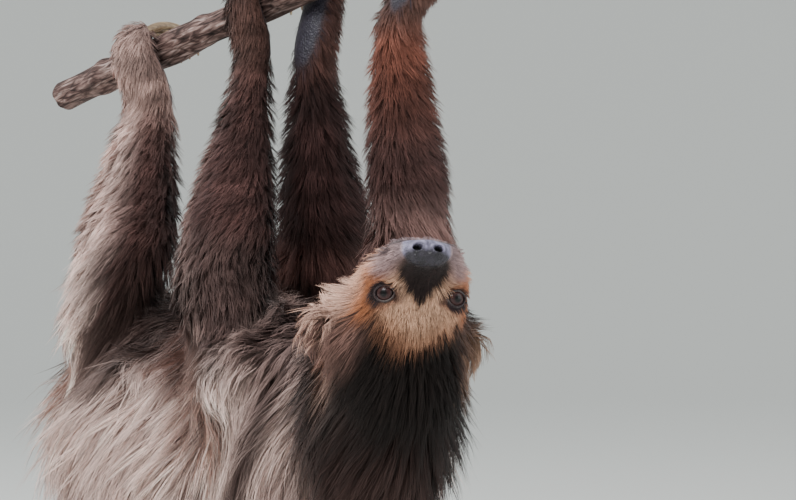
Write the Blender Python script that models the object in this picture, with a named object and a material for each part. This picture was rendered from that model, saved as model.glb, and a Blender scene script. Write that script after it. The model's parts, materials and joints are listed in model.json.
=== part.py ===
"""Two-toed sloth hanging belly up under a short length of branch, held by a display stand.

Metres, +Z up. The nose points to -Y, the animal's left side is -X, the belly faces +Z and the
branch runs above it from rump to head. The flesh is modelled whole, out to the tips of the coat,
and then parted by cuts of CUT_GAP. Claws, eyes and ears sit in pockets with the same gap.
"""

import math
from dataclasses import dataclass

import bmesh
import bpy
import numpy as np
from mathutils import Matrix, Vector

# Clearances and mesh fineness
CUT_GAP = 0.0004
SHELL_GAP = 0.0006
FIT_GAP = 0.0003
BODY_VOXEL = 0.0032
HEAD_FACES_FIRST = 6000
BODY_FACES = 2260
BODY_SMOOTHING = 14

# Display stand
BASE_SIZE = (0.300, 0.460, 0.018)
BASE_CENTRE = (0.012, -0.090)
BASE_CORNER = 0.045
BASE_BEVEL = 0.0035
ROD_RADIUS = 0.006
COLLAR_RADIUS = 0.016
COLLAR_HEIGHT = 0.010
ROD_TOP = 0.176
ROD_FRONT = (0.012, -0.165)
ROD_REAR = (0.012, 0.020)

# Perch: a straight run between two sawn ends, with a slight bow
BRANCH_REAR = Vector((-0.0190, 0.2150, 0.4990))
BRANCH_FRONT = Vector((0.0590, -0.3050, 0.5950))
BRANCH_RADIUS = 0.0117
BARK_RIPPLE = 0.0004
BRANCH_BOW = 0.0020

# Head: centre of the braincase and the way the face looks, as turns in degrees
HEAD_CENTRE = Vector((-0.0111, -0.3796, 0.3404))
HEAD_YAW = 18.0
HEAD_PITCH = 30.0
HEAD_ROLL = 5.0
EYE_RADIUS = 0.0078
EYE_PLACE = (0.0346, 0.0209, 0.0136)
EAR_PLACES = {
    "ear_left": (-0.016, 0.0600, 0.0125),
    "ear_right": (-0.0240, -0.0450, 0.0130),
}
EAR_RADII = (0.0105, 0.0050, 0.0120)
NOSE_FORWARD = 0.0700

# Claws
CLAW_WIDTH = 0.0034
CLAW_DEPTH = 0.0042
CLAW_ARC_ACROSS = 0.0262
CLAW_ARC_UP = 0.0170
CLAW_FIRST, CLAW_LAST = 20.0, 196.0
CLAW_SPACING = {"fore": 0.0150, "hind": 0.0125}
CLAW_COUNT = {"fore": 2, "hind": 3}


@dataclass(frozen=True)
class Station:
    """One cross-section of a lofted body: its centre and its two half sizes."""

    centre: Vector
    across: float
    upright: float


@dataclass(frozen=True)
class Limb:
    """The joints of one leg from the body out to the branch, with the girth at each."""

    name: str
    side: int
    root: Vector
    bend: Vector
    wrist: Vector
    grip_y: float
    root_girth: float
    bend_girth: float
    shaft_girth: float
    wrist_girth: float
    palm_width: float
    knuckle_flesh: float

    @property
    def kind(self):
        return self.name.split("_")[0]


TRUNK = (
    Station(Vector((0.004, 0.184, 0.240)), 0.022, 0.026),
    Station(Vector((0.004, 0.166, 0.236)), 0.060, 0.066),
    Station(Vector((0.006, 0.124, 0.228)), 0.087, 0.094),
    Station(Vector((0.009, 0.060, 0.224)), 0.102, 0.110),
    Station(Vector((0.012, -0.020, 0.223)), 0.107, 0.115),
    Station(Vector((0.013, -0.100, 0.227)), 0.103, 0.112),
    Station(Vector((0.011, -0.180, 0.236)), 0.093, 0.103),
    Station(Vector((0.006, -0.245, 0.247)), 0.076, 0.088),
    Station(Vector((0.002, -0.290, 0.260)), 0.054, 0.066),
    Station(Vector((0.000, -0.306, 0.266)), 0.028, 0.034),
)

NECK = (
    Station(Vector((0.004, -0.225, 0.232)), 0.050, 0.052),
    Station(Vector((0.003, -0.275, 0.243)), 0.062, 0.074),
    Station(Vector((-0.001, -0.315, 0.266)), 0.060, 0.071),
    Station(Vector((-0.008, -0.350, 0.297)), 0.054, 0.061),
    Station(Vector((-0.013, -0.374, 0.326)), 0.044, 0.046),
)

LIMBS = (
    Limb(
        "fore_left", -1,
        Vector((-0.036, -0.200, 0.246)), Vector((-0.0315, -0.128, 0.357)),
        Vector((0.0085, -0.0895, 0.511)), -0.0780,
        0.042, 0.0405, 0.0295, 0.0165, 0.0170, 0.0,
    ),
    Limb(
        "fore_right", 1,
        Vector((0.058, -0.200, 0.246)), Vector((0.0915, -0.1766, 0.384)),
        Vector((0.0575, -0.2220, 0.541)), -0.2440,
        0.042, 0.034, 0.0285, 0.0180, 0.0170, 0.0,
    ),
    Limb(
        "hind_left", -1,
        Vector((-0.026, 0.090, 0.236)), Vector((-0.0415, 0.0405, 0.350)),
        Vector((-0.0045, 0.0720, 0.484)), 0.0690,
        0.052, 0.0445, 0.0360, 0.0225, 0.0215, 0.0030,
    ),
    Limb(
        "hind_right", 1,
        Vector((0.058, 0.046, 0.240)), Vector((0.0794, -0.0583, 0.371)),
        Vector((0.0460, -0.1120, 0.513)), -0.1170,
        0.052, 0.041, 0.0310, 0.0190, 0.0205, 0.0,
    ),
)

TAIL_PLACE = Vector((0.004, 0.188, 0.258))
TAIL_RADII = (0.018, 0.026, 0.016)

MUSCLES = {
    "shoulder_left": ((-0.050, -0.188, 0.266), (0.038, 0.060, 0.056)),
    "shoulder_right": ((0.078, -0.196, 0.272), (0.036, 0.056, 0.060)),
    "haunch_left": ((-0.042, 0.060, 0.268), (0.044, 0.060, 0.064)),
    "haunch_right": ((0.066, 0.000, 0.280), (0.044, 0.070, 0.064)),
}

PAINTS = {
    "coat_grey": ((0.36, 0.28, 0.24), 0.95, 0.0),
    "coat_brown": ((0.13, 0.07, 0.055), 0.95, 0.0),
    "face_tan": ((0.52, 0.32, 0.19), 0.90, 0.0),
    "bare_skin": ((0.13, 0.11, 0.14), 0.55, 0.0),
    "eye_brown": ((0.06, 0.025, 0.012), 0.10, 0.0),
    "horn_claw": ((0.34, 0.27, 0.19), 0.45, 0.0),
    "bark": ((0.19, 0.13, 0.10), 0.90, 0.0),
    "base_wood": ((0.09, 0.06, 0.045), 0.50, 0.0),
    "rod_steel": ((0.45, 0.45, 0.46), 0.35, 1.0),
}


def clear_scene():
    for held in list(bpy.data.objects):
        bpy.data.objects.remove(held)


def paint(piece, name):
    """Gives the piece its own copy of a named finish."""
    colour, roughness, metallic = PAINTS[name]
    finish = bpy.data.materials.new(f"{piece.name}_{name}")
    finish.use_nodes = True
    shader = finish.node_tree.nodes["Principled BSDF"]
    shader.inputs["Base Color"].default_value = (*colour, 1.0)
    shader.inputs["Roughness"].default_value = roughness
    shader.inputs["Metallic"].default_value = metallic
    piece.data.materials.clear()
    piece.data.materials.append(finish)


def make_object(name, points, faces):
    mesh = bpy.data.meshes.new(name)
    mesh.from_pydata([tuple(point) for point in points], [], faces)
    mesh.validate()
    piece = bpy.data.objects.new(name, mesh)
    bpy.context.scene.collection.objects.link(piece)
    return face_outward(piece)


def face_outward(piece):
    shape = bmesh.new()
    shape.from_mesh(piece.data)
    bmesh.ops.recalc_face_normals(shape, faces=shape.faces)
    if shape.calc_volume(signed=True) < 0:
        bmesh.ops.reverse_faces(shape, faces=shape.faces)
    shape.to_mesh(piece.data)
    shape.free()
    return piece


def apply_modifier(piece, kind, **settings):
    """Adds one modifier to the piece, sets it and applies it."""
    bpy.ops.object.select_all(action="DESELECT")
    bpy.context.view_layer.objects.active = piece
    piece.select_set(True)
    modifier = piece.modifiers.new(kind.lower(), kind)
    for key, value in settings.items():
        setattr(modifier, key, value)
    bpy.ops.object.modifier_apply(modifier=modifier.name)


def cut_away(piece, cutter):
    """Takes the cutter's shape out of the piece and drops the cutter."""
    apply_modifier(piece, "BOOLEAN", operation="DIFFERENCE", solver="EXACT", object=cutter)
    bpy.data.objects.remove(cutter)


def join(pieces, name):
    bpy.ops.object.select_all(action="DESELECT")
    for piece in pieces:
        piece.select_set(True)
    bpy.context.view_layer.objects.active = pieces[0]
    bpy.ops.object.join()
    pieces[0].name = name
    return pieces[0]


def spline(values, steps):
    """Catmull-Rom curve through the rows of values, with a number of steps in each span."""
    padded = np.vstack([2 * values[0] - values[1], values, 2 * values[-1] - values[-2]])
    rows = []
    for span in range(len(values) - 1):
        before, start, end, after = padded[span : span + 4]
        for step in range(steps):
            t = step / steps
            rows.append(
                0.5
                * (
                    2 * start
                    + (end - before) * t
                    + (2 * before - 5 * start + 4 * end - after) * t**2
                    + (3 * start - before - 3 * end + after) * t**3
                )
            )
    rows.append(values[-1])
    return np.array(rows)


def tube_faces(rings, sides):
    """Faces of a tube of equal rings of points, with both ends closed."""
    faces = [tuple(reversed(range(sides)))]
    for ring in range(rings - 1):
        low, high = ring * sides, (ring + 1) * sides
        for side in range(sides):
            other = (side + 1) % sides
            faces.append((low + side, low + other, high + other, high + side))
    faces.append(tuple(range((rings - 1) * sides, rings * sides)))
    return faces


def loft(name, stations, sides=20, steps=5, grow=0.0, across_axis=(1, 0, 0)):
    """A closed tube with oval cross-sections through the stations, square to its own path."""
    values = np.array([[*s.centre, s.across, s.upright] for s in stations])
    rows = spline(values, steps)
    tangents = np.gradient(rows[:, :3], axis=0)
    tangents /= np.linalg.norm(tangents, axis=1, keepdims=True)
    rows[0, :3] -= tangents[0] * grow
    rows[-1, :3] += tangents[-1] * grow
    points = []
    for row, tangent in zip(rows, tangents):
        across = np.array(across_axis, float)
        across -= tangent * across.dot(tangent)
        across /= np.linalg.norm(across)
        upright = np.cross(tangent, across)
        for side in range(sides):
            turn = 2 * math.pi * side / sides
            reach = across * (math.cos(turn) * (max(row[3], 0.001) + grow))
            rise = upright * (math.sin(turn) * (max(row[4], 0.001) + grow))
            points.append(row[:3] + reach + rise)
    return make_object(name, points, tube_faces(len(rows), sides))


def ellipsoid(name, place, radii, segments=24, rings=14):
    """An ellipsoid whose radii lie along the axes of the place matrix."""
    bpy.ops.mesh.primitive_uv_sphere_add(segments=segments, ring_count=rings, radius=1.0)
    piece = bpy.context.active_object
    piece.name = name
    piece.data.transform(place @ Matrix.Diagonal((*radii, 1.0)))
    return piece


def block(name, place, size):
    """A box centred on the place matrix, with its sides along the matrix's axes."""
    bpy.ops.mesh.primitive_cube_add(size=1.0)
    piece = bpy.context.active_object
    piece.name = name
    piece.data.transform(place @ Matrix.Diagonal((*size, 1.0)))
    return piece


def disc(name, centre, normal, radius):
    """A thin round slab square to the normal: the tool that parts two lengths of a limb."""
    bpy.ops.mesh.primitive_cylinder_add(vertices=32, radius=radius, depth=CUT_GAP)
    piece = bpy.context.active_object
    piece.name = name
    turn = normal.to_track_quat("Z", "Y").to_matrix().to_4x4()
    piece.data.transform(Matrix.Translation(centre) @ turn)
    return piece


def head_frame():
    """The head's own axes: X out of the nose, Y to the animal's left, Z out of the crown."""
    yaw, pitch = math.radians(HEAD_YAW), math.radians(HEAD_PITCH)
    level = Vector((-math.sin(yaw), -math.cos(yaw), 0.0))
    forward = level * math.cos(pitch) + Vector((0, 0, math.sin(pitch)))
    crown = level * math.sin(pitch) - Vector((0, 0, math.cos(pitch)))
    left = crown.cross(forward)
    axes = Matrix((forward, left, crown)).transposed()
    roll = Matrix.Rotation(math.radians(-HEAD_ROLL), 3, forward)
    return Matrix.Translation(HEAD_CENTRE) @ (roll @ axes).to_4x4()


def at(frame, forward, left, crown):
    """A copy of the frame moved to a point given in its own axes."""
    return frame @ Matrix.Translation((forward, left, crown))


def branch_point(y):
    share = (y - BRANCH_REAR.y) / (BRANCH_FRONT.y - BRANCH_REAR.y)
    point = BRANCH_REAR.lerp(BRANCH_FRONT, share)
    point.z += BRANCH_BOW * math.sin(math.pi * share)
    return point


def grip_frame(limb):
    """Axes at the branch for one limb: X away from the midline, Y along the branch, Z up."""
    along = (BRANCH_REAR - BRANCH_FRONT).normalized()
    outward = Vector((limb.side, 0, 0))
    outward = (outward - along * outward.dot(along)).normalized()
    up = outward.cross(along).normalized()
    if up.z < 0:
        up = -up
    axes = Matrix((outward, along, up)).transposed()
    return Matrix.Translation(branch_point(limb.grip_y)) @ axes.to_4x4()


def limb_shapes(limb):
    """The overlapping lofts of one leg, from inside the body to the knuckles."""
    shaft = limb.bend.lerp(limb.wrist, 0.45)
    upper = limb.root.lerp(limb.bend, 0.55)
    upper_girth = 0.5 * (limb.root_girth + limb.bend_girth)
    leg = [
        Station(limb.root, limb.root_girth, limb.root_girth * 1.15),
        Station(upper, upper_girth, upper_girth * 1.08),
        Station(limb.bend, limb.bend_girth, limb.bend_girth * 1.05),
        Station(shaft, limb.shaft_girth, limb.shaft_girth),
        Station(limb.bend.lerp(limb.wrist, 0.80), limb.wrist_girth * 1.22, limb.wrist_girth * 1.2),
        Station(limb.wrist, limb.wrist_girth, limb.wrist_girth),
    ]
    grip = grip_frame(limb)
    width = limb.palm_width
    thick = limb.knuckle_flesh
    heel = limb.wrist.lerp(grip @ Vector((0.0170, 0, -0.024)), 0.5)
    hand = [
        Station(limb.wrist, limb.wrist_girth * 0.95, limb.wrist_girth * 0.9),
        Station(heel, width, 0.0150 + thick),
        Station(grip @ Vector((0.0170, 0, -0.024)), width * 1.05, 0.0145 + thick),
        Station(grip @ Vector((0.0215 + thick, 0, -0.010)), width * 1.08, 0.0135 + thick),
        Station(grip @ Vector((0.0225 + thick, 0, 0.004)), width * 1.04, 0.0115 + thick),
        Station(grip @ Vector((0.0180, 0, 0.0115 + thick)), width * 0.97, 0.0085 + thick),
        Station(grip @ Vector((0.0115, 0, 0.0155 + thick)), width * 0.80, 0.0050 + thick / 2),
    ]
    along = tuple(grip.col[1].xyz)
    return [loft(f"{limb.name}_leg", leg), loft(f"{limb.name}_hand", hand, across_axis=along)]


def head_shapes():
    """The overlapping shapes of the head: braincase, ruffs, brow, cheeks, muzzle and chin."""
    frame = head_frame()
    shapes = [
        ellipsoid("braincase", at(frame, -0.010, 0, 0.009), (0.052, 0.043, 0.043)),
        ellipsoid("nape", at(frame, -0.036, 0, 0.020), (0.042, 0.046, 0.048)),
        ellipsoid("brow", at(frame, 0.023, 0, 0.011), (0.023, 0.033, 0.018)),
        ellipsoid("throat", at(frame, -0.010, 0, -0.014), (0.036, 0.032, 0.024)),
    ]
    shapes.append(ellipsoid("ruff", at(frame, -0.016, 0.034, 0.010), (0.038, 0.032, 0.036)))
    shapes.append(ellipsoid("ruff", at(frame, -0.038, -0.022, 0.012), (0.042, 0.029, 0.037)))
    shapes.append(ellipsoid("cheek", at(frame, 0.014, 0.024, -0.003), (0.030, 0.020, 0.021)))
    shapes.append(ellipsoid("cheek", at(frame, 0.012, -0.019, -0.003), (0.028, 0.020, 0.021)))
    for side in (-1, 1):
        shapes.append(
            ellipsoid("lip", at(frame, 0.038, side * 0.0145, -0.0065), (0.028, 0.0155, 0.0115))
        )
    muzzle = [
        Station(at(frame, 0.006, 0, 0.000).translation, 0.036, 0.028),
        Station(at(frame, 0.030, 0, 0.000).translation, 0.0260, 0.0205),
        Station(at(frame, 0.048, 0, -0.001).translation, 0.0190, 0.0150),
        Station(at(frame, 0.062, 0, 0.000).translation, 0.0165, 0.0112),
        Station(at(frame, NOSE_FORWARD, 0, 0.001).translation, 0.0158, 0.0090),
        Station(at(frame, NOSE_FORWARD + 0.005, 0, 0.001).translation, 0.0115, 0.0060),
    ]
    shapes.append(loft("muzzle_loft", muzzle, across_axis=tuple(frame.col[1].xyz)))
    chin = [
        Station(at(frame, -0.002, 0, -0.018).translation, 0.026, 0.017),
        Station(at(frame, 0.026, 0, -0.0155).translation, 0.0180, 0.0110),
        Station(at(frame, 0.046, 0, -0.0135).translation, 0.0122, 0.0078),
        Station(at(frame, 0.055, 0, -0.0120).translation, 0.0078, 0.0045),
    ]
    shapes.append(loft("chin_loft", chin, across_axis=tuple(frame.col[1].xyz)))
    return shapes


def whole_body():
    """The flesh and coat of the animal as one smooth closed skin."""
    shapes = [loft("trunk_loft", TRUNK), loft("neck_loft", NECK)]
    for limb in LIMBS:
        shapes.extend(limb_shapes(limb))
    shapes.append(ellipsoid("tail_loft", Matrix.Translation(TAIL_PLACE), TAIL_RADII))
    for name, (centre, radii) in MUSCLES.items():
        shapes.append(ellipsoid(name, Matrix.Translation(centre), radii))
    shapes.extend(head_shapes())
    body = join(shapes, "body")
    apply_modifier(body, "REMESH", mode="VOXEL", voxel_size=BODY_VOXEL)
    apply_modifier(body, "SMOOTH", factor=0.5, iterations=BODY_SMOOTHING)
    ratio = HEAD_FACES_FIRST / (2 * len(body.data.polygons))
    apply_modifier(body, "DECIMATE", ratio=ratio)
    coarse = body.vertex_groups.new(name="coarse")
    for vertex in body.data.vertices:
        reach = (vertex.co - HEAD_CENTRE).length
        coarse.add([vertex.index], min(max((reach - 0.05) / 0.03, 0.15), 1.0), "REPLACE")
    ratio = BODY_FACES / len(body.data.polygons)
    apply_modifier(body, "DECIMATE", ratio=ratio, vertex_group="coarse")
    return body


def trunk_shell():
    """A thin closed skin a little outside the trunk, which parts the legs and neck from it."""
    outer = loft("shell_outer", TRUNK, grow=0.0130, sides=14, steps=2)
    inner = loft("shell_inner", TRUNK, grow=0.0130 - SHELL_GAP, sides=14, steps=2)
    inner.data.flip_normals()
    return join([outer, inner], "trunk_shell")


def part_limbs(body):
    """Parts each leg below the elbow or knee joint and again at the wrist or ankle."""
    for limb in LIMBS:
        line = (limb.wrist - limb.bend).normalized()
        joint = limb.bend.lerp(limb.wrist, 0.14)
        cut_away(body, disc("joint_cut", joint, line, limb.bend_girth * 1.22))
        wrist = limb.bend.lerp(limb.wrist, 0.97)
        cut_away(body, disc("wrist_cut", wrist, line, limb.wrist_girth * 1.30))


def part_head(body):
    """Parts the head from the neck, then the muzzle, the nose pad and the lower jaw."""
    frame = head_frame()
    forward = frame.col[0].xyz
    neck_line = (HEAD_CENTRE - NECK[2].centre).normalized()
    tilt = (neck_line + forward * 0.9).normalized()
    cut_away(body, disc("neck_cut", NECK[3].centre + tilt * 0.002, tilt, 0.105))
    mouth = -0.0105
    cut_away(body, block("mouth_cut", at(frame, 0.058, 0, mouth), (0.080, 0.1, CUT_GAP)))
    hinge = at(frame, 0.020, 0, mouth - 0.0299)
    cut_away(body, block("hinge_cut", hinge, (CUT_GAP, 0.1, 0.060)))
    face = at(frame, 0.0440, 0, mouth + 0.0299)
    cut_away(body, block("muzzle_cut", face, (CUT_GAP, 0.1, 0.060)))
    cut_away(body, disc("nose_cut", at(frame, 0.0640, 0, 0).translation, forward, 0.030))


def node_places():
    """A point in the middle of each parted piece of flesh, by node name."""
    frame = head_frame()
    places = {
        "trunk": Vector((0.012, -0.060, 0.232)),
        "tail": TAIL_PLACE + Vector((0, 0.018, 0)),
        "neck": NECK[2].centre,
        "head": at(frame, -0.006, 0, 0.002).translation,
        "muzzle": at(frame, 0.054, 0, 0).translation,
        "nose_pad": at(frame, 0.069, 0, 0).translation,
        "lower_jaw": at(frame, 0.036, 0, -0.020).translation,
    }
    for limb in LIMBS:
        end = "hand" if limb.kind == "fore" else "foot"
        places[f"{limb.name}_upper"] = limb.root.lerp(limb.bend, 0.85)
        places[f"{limb.name}_lower"] = limb.bend.lerp(limb.wrist, 0.55)
        places[f"{limb.name}_{end}"] = grip_frame(limb) @ Vector((0.022, 0, 0.0))
    return places


def separate(body):
    """Splits the cut body into its pieces, names each by its place and drops any crumb."""
    bpy.ops.object.select_all(action="DESELECT")
    bpy.context.view_layer.objects.active = body
    body.select_set(True)
    bpy.ops.mesh.separate(type="LOOSE")
    loose = [piece for piece in bpy.context.selected_objects if piece.type == "MESH"]
    loose.sort(key=lambda piece: len(piece.data.vertices), reverse=True)
    places = node_places()
    named = {}
    for piece in loose:
        centre = sum((v.co for v in piece.data.vertices), Vector()) / len(piece.data.vertices)
        nearest = min(places, key=lambda name: (places[name] - centre).length)
        if nearest in named:
            bpy.data.objects.remove(piece)
        else:
            piece.name = nearest
            named[nearest] = piece
    return named


def build_branch():
    """The perch: bark with slow ripples, two knots clear of the feet, and sawn ends."""
    knots = {0.150: 0.0030, 0.004: 0.0024, -0.182: 0.0026}
    stations = []
    count = 20
    for index in range(count):
        share = index / (count - 1)
        y = BRANCH_REAR.y + (BRANCH_FRONT.y - BRANCH_REAR.y) * share
        swell = BARK_RIPPLE * math.sin(9.0 * share * math.pi) + 0.0009 * (0.5 - share)
        for knot, height in knots.items():
            swell += height * math.exp(-(((y - knot) / 0.008) ** 2))
        girth = BRANCH_RADIUS + swell
        stations.append(Station(branch_point(y), girth, girth * 0.985))
    branch = loft("perch_branch", stations, sides=11, steps=1)
    paint(branch, "bark")
    return branch


def claw_stations(limb, offset, grow=0.0):
    """Cross-sections of one claw: out of the knuckle, over the branch and down the far side."""
    grip = grip_frame(limb)
    stations = []
    count = 9
    for index in range(count):
        share = index / (count - 1)
        turn = math.radians(CLAW_FIRST + (CLAW_LAST - CLAW_FIRST) * share)
        across = CLAW_ARC_ACROSS * math.cos(turn)
        rise = CLAW_ARC_UP * math.sin(turn) + 0.0010 * math.sin(turn) ** 2
        taper = max(1.0 - share**2.2, 0.0) * 0.88 + 0.12
        stations.append(
            Station(
                grip @ Vector((across, offset, rise)),
                CLAW_WIDTH * taper + grow,
                CLAW_DEPTH * taper + grow,
            )
        )
    return stations


def build_claws(limb, hand):
    """Seats the claws of one foot in pockets in its knuckles."""
    count = CLAW_COUNT[limb.kind]
    along = tuple(grip_frame(limb).col[1].xyz)
    for index in range(count):
        offset = (index - (count - 1) / 2) * CLAW_SPACING[limb.kind]
        seat = loft(
            "claw_seat", claw_stations(limb, offset, FIT_GAP), 6, 1, 0.0003, along
        )
        cut_away(hand, seat)
        claw = loft(
            f"claw_{limb.name}_{index + 1}", claw_stations(limb, offset), 6, 1, 0.0, along
        )
        paint(claw, "horn_claw")


def seat_hands(named, branch):
    """Presses the palms round the branch and seats the claws."""
    stations = []
    for index in range(9):
        y = BRANCH_REAR.y + (BRANCH_FRONT.y - BRANCH_REAR.y) * index / 8
        girth = BRANCH_RADIUS + 0.0016
        stations.append(Station(branch_point(y), girth, girth))
    for limb in LIMBS:
        hand = named[f"{limb.name}_{'hand' if limb.kind == 'fore' else 'foot'}"]
        cut_away(hand, loft("palm_seat", stations, sides=12, steps=1))
        build_claws(limb, hand)


def build_eyes(head):
    """Eyeballs with a raised cornea, in round sockets."""
    frame = head_frame()
    forward, left, crown = EYE_PLACE
    for name, side in (("eye_left", 1), ("eye_right", -1)):
        place = at(frame, forward, side * left, crown)
        socket = EYE_RADIUS + FIT_GAP + 0.0002
        cut_away(head, ellipsoid("socket", place, (socket,) * 3, 12, 8))
        look = Matrix.Rotation(side * math.radians(32), 4, "Z") @ Matrix.Rotation(
            math.radians(-28), 4, "Y"
        )
        eye = ellipsoid(name, place @ look, (EYE_RADIUS,) * 3, 12, 8)
        paint(eye, "eye_brown")


def build_ears(head):
    """Small round ears with a shallow bowl, half sunk in the coat."""
    frame = head_frame()
    for name, seat in EAR_PLACES.items():
        side = 1 if seat[1] > 0 else -1
        place = at(frame, *seat) @ Matrix.Rotation(side * math.radians(14), 4, "Z")
        seat_radii = tuple(radius + FIT_GAP for radius in EAR_RADII)
        cut_away(head, ellipsoid("ear_seat", place, seat_radii, 12, 8))
        ear = ellipsoid(name, place, EAR_RADII, 12, 8)
        bowl = at(place, 0.002, side * 0.0065, 0)
        cut_away(ear, ellipsoid("bowl", bowl, (0.0064, 0.0032, 0.0074), 8, 6))
        paint(ear, "bare_skin")


def cut_nostrils(nose_pad):
    frame = head_frame()
    for side in (-1, 1):
        place = at(frame, NOSE_FORWARD + 0.0045, side * 0.0066, 0.0004)
        cut_away(nose_pad, ellipsoid("nostril", place, (0.0042, 0.0028, 0.0028), 8, 6))


def build_stand(trunk):
    """A flat base with rounded corners and two rods that end inside the back."""
    width, length, height = BASE_SIZE
    outline = bmesh.new()
    corners = []
    for sign_x, sign_y, first in ((1, 1, 0), (-1, 1, 90), (-1, -1, 180), (1, -1, 270)):
        for step in range(7):
            turn = math.radians(first + 15 * step)
            corners.append(
                (
                    BASE_CENTRE[0] + sign_x * (width / 2 - BASE_CORNER) + BASE_CORNER * math.cos(turn),
                    BASE_CENTRE[1] + sign_y * (length / 2 - BASE_CORNER) + BASE_CORNER * math.sin(turn),
                    0.0,
                )
            )
    face = outline.faces.new([outline.verts.new(corner) for corner in corners])
    raised = bmesh.ops.extrude_face_region(outline, geom=[face])
    top = [item for item in raised["geom"] if isinstance(item, bmesh.types.BMVert)]
    bmesh.ops.translate(outline, verts=top, vec=(0, 0, height))
    mesh = bpy.data.meshes.new("stand_base")
    outline.to_mesh(mesh)
    outline.free()
    base = bpy.data.objects.new("stand_base", mesh)
    bpy.context.scene.collection.objects.link(base)
    face_outward(base)
    apply_modifier(base, "BEVEL", width=BASE_BEVEL, segments=1, angle_limit=math.radians(50))
    paint(base, "base_wood")
    for name, (x, y) in (("stand_rod_front", ROD_FRONT), ("stand_rod_rear", ROD_REAR)):
        start = height + FIT_GAP
        rows = (
            (start, COLLAR_RADIUS - 0.001), (start + 0.001, COLLAR_RADIUS),
            (start + COLLAR_HEIGHT - 0.002, COLLAR_RADIUS),
            (start + COLLAR_HEIGHT, COLLAR_RADIUS - 0.002),
            (start + COLLAR_HEIGHT, ROD_RADIUS), (ROD_TOP - 0.001, ROD_RADIUS),
            (ROD_TOP, ROD_RADIUS - 0.001),
        )
        turned(name, (x, y), rows, 12)
        turned("rod_seat", (x, y), ((0.05, 0.0065), (ROD_TOP + FIT_GAP, 0.0065)), 12)
        cut_away(trunk, bpy.data.objects["rod_seat"])
        paint(bpy.data.objects[name], "rod_steel")


def turned(name, centre, rows, sides):
    """A round upright piece from rows of height and radius, capped at both ends."""
    points = []
    for height, radius in rows:
        for side in range(sides):
            turn = 2 * math.pi * side / sides
            points.append(
                (centre[0] + radius * math.cos(turn), centre[1] + radius * math.sin(turn), height)
            )
    return make_object(name, points, tube_faces(len(rows), sides))


def finish_flesh(named):
    """Colours the flesh nodes."""
    finishes = dict.fromkeys(("trunk", "neck", "tail"), "coat_grey")
    finishes.update(dict.fromkeys(("head", "muzzle", "lower_jaw"), "face_tan"))
    finishes["nose_pad"] = "bare_skin"
    for name, piece in named.items():
        paint(piece, finishes.get(name, "coat_brown"))


def centre_on_base():
    """Moves the whole model so that the middle of the base's underside is the origin."""
    move = Matrix.Translation((-BASE_CENTRE[0], -BASE_CENTRE[1], 0.0))
    for piece in bpy.data.objects:
        piece.data.transform(move)


def shade():
    """Smooth shading with crisp edges where the form turns sharply."""
    for piece in bpy.data.objects:
        bpy.ops.object.select_all(action="DESELECT")
        piece.select_set(True)
        bpy.context.view_layer.objects.active = piece
        bpy.ops.object.shade_smooth_by_angle(angle=math.radians(42))


def main():
    clear_scene()
    body = whole_body()
    cut_away(body, trunk_shell())
    part_limbs(body)
    part_head(body)
    named = separate(body)
    branch = build_branch()
    seat_hands(named, branch)
    build_eyes(named["head"])
    build_ears(named["head"])
    cut_nostrils(named["nose_pad"])
    build_stand(named["trunk"])
    finish_flesh(named)
    centre_on_base()
    shade()


main()
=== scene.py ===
"""Looks of a two-toed sloth hanging under a branch: one skin, a modelled coat, eyes, claws,
bark, a display stand and a plain studio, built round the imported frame. Metres, +Z up."""

import json
import logging
import math
from collections.abc import Iterator
from contextlib import contextmanager
from dataclasses import dataclass
from enum import Enum, IntEnum

import bmesh
import bpy
import numpy as np
from mathutils import Matrix, Vector
from mathutils.bvhtree import BVHTree
from mathutils.kdtree import KDTree

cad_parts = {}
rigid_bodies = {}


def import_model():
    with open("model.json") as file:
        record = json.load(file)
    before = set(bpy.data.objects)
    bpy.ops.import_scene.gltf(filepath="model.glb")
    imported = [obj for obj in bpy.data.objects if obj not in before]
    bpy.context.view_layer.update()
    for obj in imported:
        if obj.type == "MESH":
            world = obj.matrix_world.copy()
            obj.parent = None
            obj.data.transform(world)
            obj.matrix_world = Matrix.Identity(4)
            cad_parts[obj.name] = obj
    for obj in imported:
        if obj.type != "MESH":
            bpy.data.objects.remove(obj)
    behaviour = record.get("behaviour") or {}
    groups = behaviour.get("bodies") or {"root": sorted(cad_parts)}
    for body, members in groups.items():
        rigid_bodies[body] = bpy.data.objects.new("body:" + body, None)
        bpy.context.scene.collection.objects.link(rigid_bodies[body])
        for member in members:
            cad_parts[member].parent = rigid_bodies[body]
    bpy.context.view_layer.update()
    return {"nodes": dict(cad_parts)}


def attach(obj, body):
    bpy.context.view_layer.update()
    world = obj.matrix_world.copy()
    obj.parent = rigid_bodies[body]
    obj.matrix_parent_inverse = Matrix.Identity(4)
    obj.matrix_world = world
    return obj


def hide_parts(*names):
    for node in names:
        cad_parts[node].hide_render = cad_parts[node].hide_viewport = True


# The start-up objects go before the frame comes in.
for held in list(bpy.data.objects):
    bpy.data.objects.remove(held)
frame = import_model()
LOG = logging.getLogger("sloth")
RNG = np.random.default_rng(7)

Triple = tuple[float, float, float]
Rows = np.ndarray
Piece = bpy.types.Object
Mesh = bpy.types.Mesh
Socket = bpy.types.NodeSocket

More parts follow.
